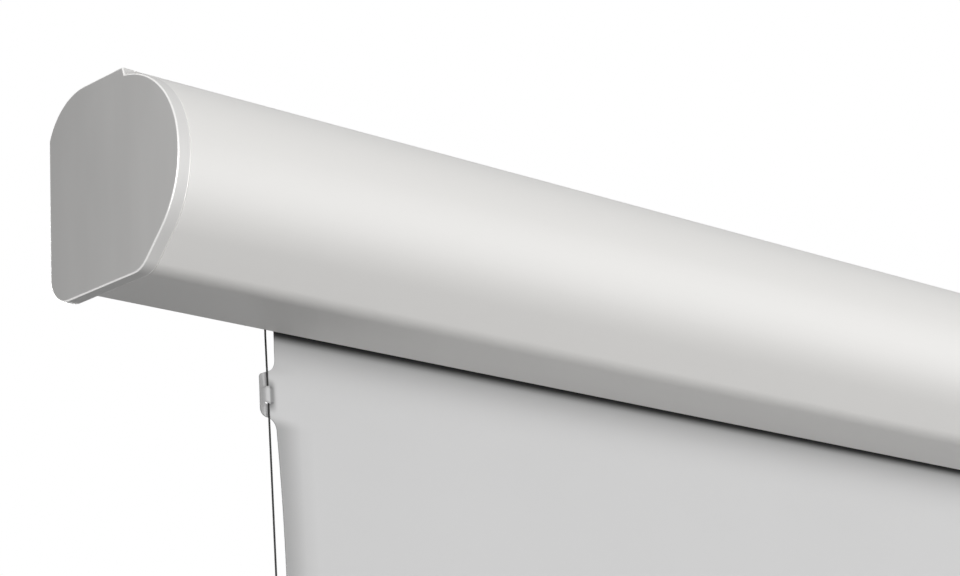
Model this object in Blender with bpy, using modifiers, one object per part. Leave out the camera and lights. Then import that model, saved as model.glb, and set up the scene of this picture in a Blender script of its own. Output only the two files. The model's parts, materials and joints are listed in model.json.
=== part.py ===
"""Motorised, tab-tensioned projector screen, hung on a wall by two angle brackets.

Metres, +Z up. X runs along the case, the wall is the plane y = 0 and the room is at -Y. The origin
lies on the wall at mid-length, level with the brackets' screw holes.

A cross-section of the case is drawn in (d, h): d is the distance out from the case's back plane
towards the room, and h the height above its underside. A place along the case is given as u, the
distance in from the face of the nearer end cap. SIDES says which end: -1 is the left, +1 the right.
"""

import math

import bmesh
import bpy
from mathutils import Matrix, Vector

SIDES = {"left": -1, "right": 1}

# Overall
OVERALL_LENGTH = 2.642
CLEARANCE = 0.0003  # between pieces that touch or seat on each other

# Cross-section of the case and its end caps
SECTION_HEIGHT = 0.1505
SECTION_DEPTH = 0.1454
NOSE_DROP = 0.076  # from the top down to where the nose's lower arc begins
NOSE_FACE = 0.0032  # height of the upright stretch between the nose's two arcs
UPPER_NOSE_RADIUS = 0.0671
LOWER_NOSE_RADIUS = 0.075
CHIN_SLOPE = 45.5  # degrees from level, the flat under the nose
LOWER_CORNER_RADIUS = 0.020
TOP_FLAT_FRONT = 0.086
TOP_FLAT_BACK = 0.042
SHOULDER_RADIUS = 0.045
NOTCH_WIDTH = 0.002  # how far the cap's riser leans out from its peak
ARC_STEP = 7.5  # degrees between points of an arc, at most

# Case extrusion
CASE_WALL = 0.002
CASE_INSET = 0.0006  # how far the case lies inside the caps' outline
SLOT_LIP = 0.0377  # d of the slot's front lip
SLOT_LIP_HEIGHT = 0.008
REAR_EDGE_HEIGHT = 0.0165
REAR_FLANGE = 0.0075
PORT_RADIUS = 0.0045
PORT_BITE = 0.001  # how far a screw port sinks into the wall
PORT_HOLE_RADIUS = 0.0019
PORT_HOLE_DEPTH = 0.022
LOWER_PORT_ANGLE = -20.0
UPPER_PORT_ANGLE = 45.0
SHOULDER_PORT_ANGLE = 120.0
REAR_PORT_HEIGHT = 0.034

# T-slot rail along the case's top
RAIL_CENTRE = 0.063  # d
RAIL_MOUTH = 0.0068
RAIL_CAVITY_WIDTH = 0.0118
RAIL_CAVITY_HEIGHT = 0.0048
RAIL_LIP = 0.002
RAIL_WALL = 0.002

# End caps, end plates and their screws
CAP_THICKNESS = 0.011
CAP_ROUNDING = 0.0008  # of the cap's outer and inner edges
CAP_FACE = 0.003
CAP_RIM = 0.0025
PEG_RADIUS = 0.003
PEG_SETBACKS = (0.030, 0.0274)  # of the cap's two pegs, from its back and from its nose
PLATE_THICKNESS = 0.003
PLATE_MARGIN = 0.0005  # between the plate's edge and the cap's rim
SCREW_RADIUS = 0.0016
SCREW_HEAD_RADIUS = 0.0030
SCREW_HEAD_HEIGHT = 0.0022
SCREW_REACH = 0.012  # how far a screw goes into its port
HOLE_CLEARANCE = 0.0005

# Roller and what it turns on
ROLLER_D = 0.064
ROLLER_DROP = 0.0665  # from the top down to the roller's axis
TUBE_RADIUS = 0.033
TUBE_WALL = 0.002
TUBE_LEFT = 0.034  # u of the tube's end at the idler
TUBE_RIGHT = 0.040  # u of the tube's end at the motor
PIN_RADIUS = 0.005
PIN_REACH = 0.030  # how far the pin goes into the idler plug
PLUG_LENGTH = 0.036
PLUG_FLANGE = 0.003
BUSH_WALL = 0.006
HOUSING_WALL = 0.004
FLANGE_RADIUS = 0.027
FLANGE_THICKNESS = 0.003
HOUSING_LENGTH = 0.013

# Tubular motor
MOTOR_RADIUS = 0.0225
MOTOR_LENGTH = 0.480
MOTOR_HEAD_RADIUS = 0.026
MOTOR_HEAD_LENGTH = 0.021
MOTOR_PEG_RADIUS = 0.009
MOTOR_PEG_LENGTH = 0.010
MOTOR_SOCKET_WALL = 0.005
BUTTON_RADIUS = 0.0026
BUTTON_SPREAD = 0.010  # between the two limit buttons, along X
BUTTON_OFFSET = 0.015  # from the motor's axis back to the buttons
BUTTON_PROUD = 0.0022
BUTTON_DEPTH = 0.006  # of the pocket, above where the button's foot breaks the head's surface
BUTTON_TRAVEL = 0.0015
CROWN_LENGTH = 0.022
CROWN_OFFSET = 0.0015  # from the tube's end to the crown
WHEEL_LENGTH = 0.026
WHEEL_HUB_WALL = 0.006
WHEEL_RIM_WALL = 0.004
WHEEL_WEB = 0.006
SHAFT_RADIUS = 0.006

# Screen fabric, tabs and cords
FABRIC_D = 0.026
FABRIC_THICKNESS = 0.0006
FABRIC_EDGE = 0.1775  # u of the fabric's straight side
DROP = 1.560  # from the case's underside to the top of the weight bar
CORD_RADIUS = 0.00075
CORD_EDGE = 0.1680  # u of the cord at its two ends
CORD_BOW = 0.0068  # how far the tabs draw the cord inwards at mid-drop
FIRST_TAB = -0.0437  # h of the top tab's centre
TAB_PITCH = 0.245
TAB_HEIGHT = 0.0325
TAB_REACH = 0.0067  # how far a tab stands out past its cord
TAB_NECK = 0.0082  # from the cord in to the fabric's side beside a tab
TAB_FILLET = 0.0090
TAB_UPPER_CORNER = 0.0035
TAB_LOWER_CORNER = 0.0065
SCALLOP = 0.0025  # how much deeper the side is cut half-way between tabs
SCALLOP_POINTS = 3
BAND_HEIGHT = 0.0125  # the band of a tab that stands clear of it, over the cord
BAND_HALF_WIDTH = 0.0048
BAND_CREST = 0.0012  # half the width of the band's flat crest
BAND_THICKNESS = 0.0006
SPOOL_WIDTH = 0.008

# Weight bar, its end blocks and tension knobs
BAR_DEPTH = 0.022
BAR_HEIGHT = 0.038
BAR_WALL = 0.002
BAR_BEVEL = 0.0025
BAR_CHAMBER_HEIGHT = 0.0175
BAR_SLOT_WIDTH = 0.0018
ROD_RADIUS = 0.0027
ROD_CHANNEL_RADIUS = 0.0034
ROD_HEIGHT = 0.0275  # of the rod's centre above the bar's underside
BLOCK_LENGTH = 0.0235
BLOCK_SPIGOT = 0.025
BLOCK_OUTER_LENGTH = 0.016  # from the cord out to the block's end
SPINDLE_RADIUS = 0.0040
SPINDLE_REACH = 0.022
KNOB_RADIUS = 0.0095
KNOB_LENGTH = 0.009
KNOB_CHAMFER = 0.001
KNOB_FLUTES = 10
KNOB_FLUTE_RADIUS = 0.0017
KNOB_CENTRE_HEIGHT = 0.017  # above the bar's underside
CORD_HOLE_RADIUS = 0.0012

# Wall brackets, their bolts and the nuts in the rail
BRACKET_U = 0.300
BRACKET_WIDTH = 0.060
BRACKET_STEEL = 0.003
BRACKET_REACH = 0.0785  # d of the lower leg's front edge
BRACKET_RISE = 0.040  # height of the upright leg above the lower leg's underside
BRACKET_HOLE_RADIUS = 0.0035
BRACKET_HOLE_SPREAD = 0.036
BRACKET_HOLE_RISE = 0.024  # above the lower leg's underside
BACK_GAP = 0.001  # between the wall and the caps' back
BOLT_RADIUS = 0.003
BOLT_SPREAD = 0.030
BOLT_HEAD_RADIUS = 0.0056
BOLT_HEAD_HEIGHT = 0.004
NUT_SIDE = 0.0108
NUT_THICKNESS = 0.0036

# Control box and the mains gland
CONTROL_LENGTH = 0.170
CONTROL_U = 0.110
CONTROL_BACK_GAP = 0.016  # from the slot's front lip to the box
CONTROL_FRONT_GAP = 0.001  # from the box to where the chin's corner begins
CONTROL_HEIGHT = 0.024
CONTROL_WALL = 0.002
CONTROL_LID = 0.0025
GLAND_U = 0.070
GLAND_HOLE_RADIUS = 0.0056
GLAND_FLANGE_RADIUS = 0.0085
GLAND_FLANGE = 0.002
GLAND_BORE_RADIUS = 0.0036
LEAD_RADIUS = 0.0028
LEAD_POINTS = 18

# Places worked out from the sizes above
HALF_LENGTH = OVERALL_LENGTH / 2
CASE_END = CAP_THICKNESS + CLEARANCE
NOSE_HEIGHT = SECTION_HEIGHT - NOSE_DROP
ROLLER_H = SECTION_HEIGHT - ROLLER_DROP
PEG_PLACES = [
    (PEG_SETBACKS[0], NOSE_HEIGHT), (SECTION_DEPTH - PEG_SETBACKS[1], NOSE_HEIGHT)
]
CASE_TOP = SECTION_HEIGHT - CASE_INSET
LEG_UNDERSIDE = CASE_TOP + CLEARANCE
UNDERSIDE_Z = -(LEG_UNDERSIDE + BRACKET_HOLE_RISE)
FABRIC_FRONT = FABRIC_D + FABRIC_THICKNESS / 2
CORD_D = FABRIC_FRONT + CLEARANCE + CORD_RADIUS
ROLL_RADIUS = ROLLER_D - FABRIC_FRONT - CLEARANCE
SPOOL_RADIUS = ROLLER_D - CORD_D - CORD_RADIUS - CLEARANCE
TUBE_BORE = TUBE_RADIUS - TUBE_WALL
TAB_COUNT = int((DROP + FIRST_TAB - TAB_HEIGHT) / TAB_PITCH) + 1  # as many as the drop holds
BAR_TOP = -DROP
BAR_UNDERSIDE = BAR_TOP - BAR_HEIGHT
ROD_H = BAR_UNDERSIDE + ROD_HEIGHT
FABRIC_FOOT = ROD_H + ROD_RADIUS + CLEARANCE
KNOB_H = BAR_UNDERSIDE + KNOB_CENTRE_HEIGHT
KNOB_D = CORD_D - CORD_RADIUS - CLEARANCE - SPINDLE_RADIUS
BLOCK_END = CORD_EDGE - BLOCK_OUTER_LENGTH
BLOCK_INNER = BLOCK_END + BLOCK_LENGTH
BAR_END = BLOCK_INNER + CLEARANCE
HEM_EDGE = BAR_END + CLEARANCE

PAINT_WHITE = ("white_paint", (0.80, 0.79, 0.76, 1.0), 0.28, 0.0)
CAP_WHITE = ("cap_plastic", (0.74, 0.73, 0.71, 1.0), 0.38, 0.0)
STEEL = ("zinc_steel", (0.62, 0.62, 0.63, 1.0), 0.35, 1.0)
ALUMINIUM = ("mill_aluminium", (0.70, 0.70, 0.71, 1.0), 0.40, 1.0)
FABRIC_WHITE = ("screen_vinyl", (0.78, 0.78, 0.78, 1.0), 0.75, 0.0)
CORD_BLACK = ("cord_black", (0.02, 0.02, 0.02, 1.0), 0.5, 0.0)
BLACK_PLASTIC = ("black_plastic", (0.05, 0.05, 0.055, 1.0), 0.45, 0.0)
GREY_PLASTIC = ("grey_plastic", (0.45, 0.45, 0.46, 1.0), 0.5, 0.0)
BOARD_GREEN = ("board_green", (0.05, 0.25, 0.12, 1.0), 0.5, 0.0)
RUBBER_BLACK = ("gland_rubber", (0.03, 0.03, 0.03, 1.0), 0.7, 0.0)
MOTOR_GREY = ("motor_paint", (0.30, 0.31, 0.33, 1.0), 0.4, 0.6)


def clear_scene():
    """Removes what the file opened with."""
    for obj in list(bpy.data.objects):
        bpy.data.objects.remove(obj)


def new_collection(name):
    collection = bpy.data.collections.new(name)
    bpy.context.scene.collection.children.link(collection)
    return collection


def material_of(finish):
    """The material of a finish, made the first time it is asked for."""
    name, colour, roughness, metallic = finish
    found = bpy.data.materials.get(name)
    if found:
        return found
    made = bpy.data.materials.new(name)
    made.use_nodes = True
    shader = made.node_tree.nodes["Principled BSDF"]
    shader.inputs["Base Color"].default_value = colour
    shader.inputs["Roughness"].default_value = roughness
    shader.inputs["Metallic"].default_value = metallic
    return made


def place_x(side, u):
    """X of a place u in from the face of the end cap on that side."""
    return side * (HALF_LENGTH - u)


def place(x, d, h):
    """World point of a cross-section point (d, h) at x along the case."""
    return Vector((x, -(BACK_GAP + d), UNDERSIDE_Z + h))


def keep(obj, finish=None):
    """Files an object as a piece of the screen."""
    parts.objects.link(obj)
    obj.data.materials.clear()
    obj.data.materials.append(material_of(finish))
    return obj


def helper(obj):
    """Files an object as a cutter or a shape that another takes in."""
    cutters.objects.link(obj)
    obj.hide_render = True
    obj.display_type = "WIRE"
    return obj


def combine(obj, other, operation):
    modifier = obj.modifiers.new(operation.lower(), "BOOLEAN")
    modifier.operation = operation
    modifier.solver = "EXACT"
    if isinstance(other, bpy.types.Collection):
        modifier.operand_type = "COLLECTION"
        modifier.collection = other
    else:
        modifier.object = other
    return obj


def cut(obj, cutter):
    return combine(obj, cutter, "DIFFERENCE")


def unite(obj, other):
    return combine(obj, other, "UNION")


def group(name, objects):
    """A collection of helpers, for one Boolean that takes them all."""
    made = bpy.data.collections.new(name)
    cutters.children.link(made)
    for obj in objects:
        made.objects.link(obj)
        obj.hide_render = True
        obj.display_type = "WIRE"
    return made


def section_matrix(x):
    """Carries a drawing in (d, h) into place, square to the case, at x along it."""
    turn = Matrix(((0, 0, -1), (-1, 0, 0), (0, 1, 0))).to_4x4()
    return Matrix.Translation(place(x, 0, 0)) @ turn


def front_matrix(d):
    """Carries a drawing in (x, h) into the upright plane at d, seen from the room."""
    turn = Matrix.Rotation(math.radians(90), 4, "X")
    return Matrix.Translation(place(0, d, 0)) @ turn


def flat_piece(name, outline, thickness, matrix, rounding=0.0):
    """A closed outline given a thickness, half to each side of its plane, with rounded edges."""
    curve = bpy.data.curves.new(name, "CURVE")
    curve.dimensions = "2D"
    curve.fill_mode = "BOTH"
    curve.extrude = thickness / 2 - rounding
    curve.bevel_depth = rounding
    curve.bevel_resolution = 1
    curve.offset = -rounding
    spline = curve.splines.new("POLY")
    spline.points.add(len(outline) - 1)
    spline.use_cyclic_u = True
    for point, (across, up) in zip(spline.points, outline):
        point.co = (across, up, 0, 1)
    drawn = bpy.data.objects.new(name + "_outline", curve)
    bpy.context.scene.collection.objects.link(drawn)
    graph = bpy.context.evaluated_depsgraph_get()
    mesh = bpy.data.meshes.new_from_object(drawn.evaluated_get(graph))
    bpy.data.objects.remove(drawn)
    weld(mesh)
    made = bpy.data.objects.new(name, mesh)
    made.matrix_world = matrix
    return made


def weld(mesh):
    """Joins an outline's loose caps to its sides, with every face pointing out."""
    shape = bmesh.new()
    shape.from_mesh(mesh)
    bmesh.ops.remove_doubles(shape, verts=shape.verts, dist=1e-7)
    bmesh.ops.recalc_face_normals(shape, faces=shape.faces)
    shape.to_mesh(mesh)
    shape.free()


def section_piece(name, outline, side, u_from, u_to, rounding=0.0):
    """A piece with one (d, h) outline, between two places in from an end."""
    middle = place_x(side, (u_from + u_to) / 2)
    return flat_piece(name, outline, abs(u_to - u_from), section_matrix(middle), rounding)


def box(name, side, u_range, d_range, h_range, bevel=0.0):
    """A block between two places in each of u, d and h, with its edges along X rounded."""
    size = Vector((u_range[1] - u_range[0], d_range[1] - d_range[0], h_range[1] - h_range[0]))
    centre = place(
        place_x(side, sum(u_range) / 2), sum(d_range) / 2, sum(h_range) / 2
    )
    mesh = bpy.data.meshes.new(name)
    shape = bmesh.new()
    bmesh.ops.create_cube(shape, size=1.0, matrix=Matrix.Diagonal((*size, 1.0)))
    if bevel:
        along = [e for e in shape.edges if abs((e.verts[0].co - e.verts[1].co).x) > size.x / 2]
        bmesh.ops.bevel(
            shape, geom=along, offset=bevel, offset_type="OFFSET", segments=3, profile=0.5,
            affect="EDGES", material=-1,
        )
    shape.to_mesh(mesh)
    shape.free()
    made = bpy.data.objects.new(name, mesh)
    made.location = centre
    return made


def turned(name, profile, side, d, h, steps=24, closed=False):
    """A round piece on an axis along X through (d, h).

    The profile lists (radius, u), down its outer side from the far end to the near one. A closed
    profile is a ring's section, and an open one starts and ends on the axis.
    """
    mesh = bpy.data.meshes.new(name)
    count = len(profile)
    edges = [(i, i + 1) for i in range(count - 1)]
    if closed:
        edges.append((count - 1, 0))
    mesh.from_pydata([(radius, 0, u) for radius, u in profile], edges, [])
    made = bpy.data.objects.new(name, mesh)
    screw = made.modifiers.new("turn", "SCREW")
    screw.angle = math.tau
    screw.steps = steps
    screw.render_steps = steps
    screw.use_merge_vertices = True
    screw.merge_threshold = 1e-6
    screw.use_smooth_shade = False
    made.matrix_world = (
        Matrix.Translation(place(place_x(side, 0), d, h))
        @ Matrix.Rotation(math.radians(-90 * side), 4, "Y")
    )
    return made


def ring_profile(outer, inner, u_from, u_to):
    return [(outer, u_to), (outer, u_from), (inner, u_from), (inner, u_to)]


def rod_profile(radius, u_from, u_to):
    return [(0, u_to), (radius, u_to), (radius, u_from), (0, u_from)]


def rod(name, radius, side, u_range, d, h, steps=20):
    return turned(name, rod_profile(radius, *u_range), side, d, h, steps)


def upright_rod(name, radius, x, d, h_from, h_to, steps=16):
    """A round bar standing on end."""
    mesh = bpy.data.meshes.new(name)
    shape = bmesh.new()
    bmesh.ops.create_cone(
        shape, cap_ends=True, segments=steps, radius1=radius, radius2=radius, depth=h_to - h_from
    )
    shape.to_mesh(mesh)
    shape.free()
    made = bpy.data.objects.new(name, mesh)
    made.location = place(x, d, (h_from + h_to) / 2)
    return made


def polar(centre, radius, angle):
    turn = math.radians(angle)
    return (centre[0] + radius * math.cos(turn), centre[1] + radius * math.sin(turn))


def arc(centre, radius, start, end, step=ARC_STEP):
    """Points along an arc, both ends included, angles in degrees."""
    count = max(2, math.ceil(abs(end - start) / step))
    return [polar(centre, radius, start + (end - start) * i / count) for i in range(count + 1)]


def offset_path(points, distance, closed=False):
    """The path moved to its left by a distance, with mitred corners."""
    count = len(points)
    normals = []
    for i in range(count if closed else count - 1):
        here, ahead = points[i], points[(i + 1) % count]
        run = Vector((ahead[0] - here[0], ahead[1] - here[1])).normalized()
        normals.append(Vector((-run.y, run.x)))
    moved = []
    for i, point in enumerate(points):
        if closed:
            before, after = normals[i - 1], normals[i]
        else:
            before, after = normals[max(i - 1, 0)], normals[min(i, count - 2)]
        shift = (before + after) / (1 + before.dot(after)) * distance
        moved.append((point[0] + shift.x, point[1] + shift.y))
    return moved


UPPER_NOSE = (SECTION_DEPTH - UPPER_NOSE_RADIUS, NOSE_HEIGHT + NOSE_FACE)
LOWER_NOSE = (SECTION_DEPTH - LOWER_NOSE_RADIUS, NOSE_HEIGHT)
SHOULDER = (TOP_FLAT_BACK, SECTION_HEIGHT - SHOULDER_RADIUS)


def chin_corner():
    """Centre of the rounded corner between the underside and the flat under the nose."""
    facing = CHIN_SLOPE - 90
    on_chin = polar(LOWER_NOSE, LOWER_NOSE_RADIUS, facing)
    outward = polar((0, 0), 1, facing)
    rise = LOWER_CORNER_RADIUS
    reach = (-rise - outward[1] * (rise - on_chin[1])) / outward[0]
    return (on_chin[0] + reach, rise)


def front_points():
    """From the underside round the chin to the foremost point."""
    facing = CHIN_SLOPE - 90
    return arc(chin_corner(), LOWER_CORNER_RADIUS, -90, facing) + arc(
        LOWER_NOSE, LOWER_NOSE_RADIUS, facing, 0
    )


def control_range():
    """The d that the control box takes up, from the slot's lip to the chin's rounded corner."""
    back = SLOT_LIP + CASE_INSET + CASE_WALL + CONTROL_BACK_GAP
    return (back, chin_corner()[0] - CONTROL_FRONT_GAP)


def shoulder_points():
    """From the top's back edge down to the back plane."""
    meets_back = 180 - math.degrees(math.acos(TOP_FLAT_BACK / SHOULDER_RADIUS))
    return arc(SHOULDER, SHOULDER_RADIUS, 90, meets_back)


def case_path():
    """The case's outer line, from the slot's front lip round to its rear edge."""
    peak = (TOP_FLAT_FRONT, SECTION_HEIGHT)
    away = Vector(peak) - Vector(UPPER_NOSE)
    spread = math.degrees(math.acos(UPPER_NOSE_RADIUS / away.length))
    leaves_nose = math.degrees(math.atan2(away.y, away.x)) - spread
    return (
        [(SLOT_LIP, SLOT_LIP_HEIGHT), (SLOT_LIP, 0)]
        + front_points()
        + arc(UPPER_NOSE, UPPER_NOSE_RADIUS, 0, leaves_nose)
        + [peak]
        + shoulder_points()
        + [(0, REAR_EDGE_HEIGHT), (REAR_FLANGE, REAR_EDGE_HEIGHT)]
    )


def cap_outline():
    """The end cap's outline, with the notch where its nose meets the flat top."""
    foot = TOP_FLAT_FRONT + NOTCH_WIDTH
    notch_angle = math.degrees(math.acos((foot - UPPER_NOSE[0]) / UPPER_NOSE_RADIUS))
    rear_corner = (LOWER_CORNER_RADIUS, LOWER_CORNER_RADIUS)
    return (
        front_points()
        + arc(UPPER_NOSE, UPPER_NOSE_RADIUS, 0, notch_angle)
        + [(TOP_FLAT_FRONT, SECTION_HEIGHT)]
        + shoulder_points()
        + arc(rear_corner, LOWER_CORNER_RADIUS, 180, 270)
    )


def port_places():
    """Centres of the four screw ports inside the case."""
    depth = CASE_INSET + CASE_WALL + PORT_RADIUS - PORT_BITE
    return [
        polar(LOWER_NOSE, LOWER_NOSE_RADIUS - depth, LOWER_PORT_ANGLE),
        polar(UPPER_NOSE, UPPER_NOSE_RADIUS - depth, UPPER_PORT_ANGLE),
        polar(SHOULDER, SHOULDER_RADIUS - depth, SHOULDER_PORT_ANGLE),
        (depth, REAR_PORT_HEIGHT),
    ]


def make_case():
    """One extrusion: the shell, four screw ports and the T-slot rail for the brackets."""
    path = case_path()
    outline = offset_path(path, CASE_INSET) + offset_path(path, CASE_INSET + CASE_WALL)[::-1]
    ends = (CASE_END, OVERALL_LENGTH - CASE_END)
    case = section_piece("case_extrusion", outline, -1, *ends)
    through = (-CAP_THICKNESS, OVERALL_LENGTH + CAP_THICKNESS)
    cavity_top = CASE_TOP - RAIL_LIP
    cavity_foot = cavity_top - RAIL_CAVITY_HEIGHT
    rail_side = RAIL_CAVITY_WIDTH / 2 + RAIL_WALL
    rail = box(
        "rail_body", -1, ends,
        (RAIL_CENTRE - rail_side, RAIL_CENTRE + rail_side),
        (cavity_foot - RAIL_WALL, CASE_TOP - RAIL_LIP / 2),
    )
    ports = [
        rod(f"port_{n}", PORT_RADIUS, -1, ends, d, h, 16)
        for n, (d, h) in enumerate(port_places())
    ]
    unite(case, group("case_additions", [rail, *ports]))
    holes = [
        box(
            "rail_mouth", -1, through,
            (RAIL_CENTRE - RAIL_MOUTH / 2, RAIL_CENTRE + RAIL_MOUTH / 2),
            (cavity_top - CLEARANCE, CASE_TOP + RAIL_LIP),
        ),
        box(
            "rail_cavity", -1, through,
            (RAIL_CENTRE - RAIL_CAVITY_WIDTH / 2, RAIL_CENTRE + RAIL_CAVITY_WIDTH / 2),
            (cavity_foot, cavity_top),
        ),
        upright_rod(
            "gland_hole", GLAND_HOLE_RADIUS, place_x(1, GLAND_U), sum(control_range()) / 2,
            -CASE_WALL, 3 * CASE_WALL, 20,
        ),
    ]
    for side in SIDES.values():
        for n, (d, h) in enumerate(port_places()):
            reach = (0, CASE_END + PORT_HOLE_DEPTH)
            holes.append(rod(f"port_hole_{side}_{n}", PORT_HOLE_RADIUS, side, reach, d, h, 12))
    for hole in holes:
        helper(hole)
        cut(case, hole)
    keep(case, PAINT_WHITE)


def make_end(end, side):
    """End cap, end plate and the plate's four screws."""
    cap = section_piece(
        f"end_cap_{end}", cap_outline(), side, 0, CAP_THICKNESS, CAP_ROUNDING
    )
    cavity = offset_path(cap_outline(), CAP_RIM, closed=True)
    cut(cap, helper(section_piece(
        f"cap_cavity_{end}", cavity, side, CAP_FACE, CAP_THICKNESS + CAP_FACE
    )))
    plate_from = CAP_THICKNESS - PLATE_THICKNESS
    peg_range = (CAP_FACE / 2, CAP_THICKNESS - PLATE_THICKNESS / 4)
    outline = offset_path(cap_outline(), CAP_RIM + PLATE_MARGIN, closed=True)
    plate = section_piece(f"end_plate_{end}", outline, side, plate_from, CAP_THICKNESS)
    through = (plate_from - PLATE_THICKNESS, CAP_THICKNESS + PLATE_THICKNESS)
    for n, (d, h) in enumerate(PEG_PLACES):
        unite(cap, helper(rod(f"peg_{end}_{n}", PEG_RADIUS, side, peg_range, d, h, 16)))
        hole = PEG_RADIUS + CLEARANCE
        cut(plate, helper(rod(f"peg_hole_{end}_{n}", hole, side, through, d, h, 16)))
    head_to = plate_from - CLEARANCE
    head_from = head_to - SCREW_HEAD_HEIGHT
    for n, (d, h) in enumerate(port_places()):
        hole = SCREW_RADIUS + HOLE_CLEARANCE
        cut(plate, helper(rod(f"screw_hole_{end}_{n}", hole, side, through, d, h, 12)))
        profile = [
            (0, CASE_END + SCREW_REACH),
            (SCREW_RADIUS, CASE_END + SCREW_REACH),
            (SCREW_RADIUS, head_to),
            (SCREW_HEAD_RADIUS, head_to),
            (SCREW_HEAD_RADIUS, (head_from + head_to) / 2),
            (SCREW_HEAD_RADIUS * 0.7, head_from),
            (0, head_from),
        ]
        keep(turned(f"end_screw_{end}_{n + 1}", profile, side, d, h, 12), STEEL)
    keep(cap, CAP_WHITE)
    keep(plate, STEEL)


def make_roller(axis):
    """The tube, the plug and pin it turns on, the roll of fabric and the cord spools."""
    far = OVERALL_LENGTH - TUBE_RIGHT
    made = [
        (turned(
            "roller_tube", ring_profile(TUBE_RADIUS, TUBE_BORE, TUBE_LEFT, far),
            -1, ROLLER_D, ROLLER_H, 30, closed=True,
        ), ALUMINIUM),
    ]
    plug_radius = TUBE_BORE - CLEARANCE
    plug_bore = PIN_RADIUS + CLEARANCE
    face = TUBE_LEFT - CLEARANCE
    plug = [
        (plug_radius, face + PLUG_LENGTH),
        (plug_radius, face),
        (TUBE_RADIUS, face),
        (TUBE_RADIUS, face - PLUG_FLANGE),
        (plug_bore, face - PLUG_FLANGE),
        (plug_bore, face + PLUG_LENGTH),
    ]
    made.append((
        turned("idler_plug", plug, -1, ROLLER_D, ROLLER_H, 24, closed=True), BLACK_PLASTIC
    ))
    pin_from = CASE_END + FLANGE_THICKNESS + CLEARANCE
    pin_to = face + PIN_REACH
    made.append((
        rod("idler_pin", PIN_RADIUS, -1, (pin_from, pin_to), ROLLER_D, ROLLER_H, 24), STEEL
    ))
    roll = ring_profile(
        ROLL_RADIUS, TUBE_RADIUS + CLEARANCE, FABRIC_EDGE, OVERALL_LENGTH - FABRIC_EDGE
    )
    made.append((
        turned("fabric_roll", roll, -1, ROLLER_D, ROLLER_H, 30, closed=True), FABRIC_WHITE
    ))
    for end, side in SIDES.items():
        spool = ring_profile(
            SPOOL_RADIUS, TUBE_RADIUS + CLEARANCE,
            CORD_EDGE - SPOOL_WIDTH / 2, CORD_EDGE + SPOOL_WIDTH / 2,
        )
        made.append((
            turned(f"cord_spool_{end}", spool, side, ROLLER_D, ROLLER_H, 24, closed=True),
            BLACK_PLASTIC,
        ))
    for obj, finish in made:
        keep(obj, finish)
        ride(obj, axis)


def make_idler():
    """The housing on the left end plate and the bush that the idler pin turns in."""
    seat = CAP_THICKNESS + CLEARANCE
    bush_outer = PIN_RADIUS + CLEARANCE + BUSH_WALL
    bore = bush_outer + CLEARANCE
    outer = bore + HOUSING_WALL
    end = seat + HOUSING_LENGTH
    housing = [
        (outer, end),
        (outer, seat + FLANGE_THICKNESS),
        (FLANGE_RADIUS, seat + FLANGE_THICKNESS),
        (FLANGE_RADIUS, seat),
        (bore, seat),
        (bore, end),
    ]
    keep(
        turned("idler_housing", housing, -1, ROLLER_D, ROLLER_H, 24, closed=True), STEEL
    )
    bush = ring_profile(bush_outer, PIN_RADIUS + CLEARANCE, seat + CLEARANCE, end)
    keep(
        turned("idler_bush", bush, -1, ROLLER_D, ROLLER_H, 24, closed=True), GREY_PLASTIC
    )


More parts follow.
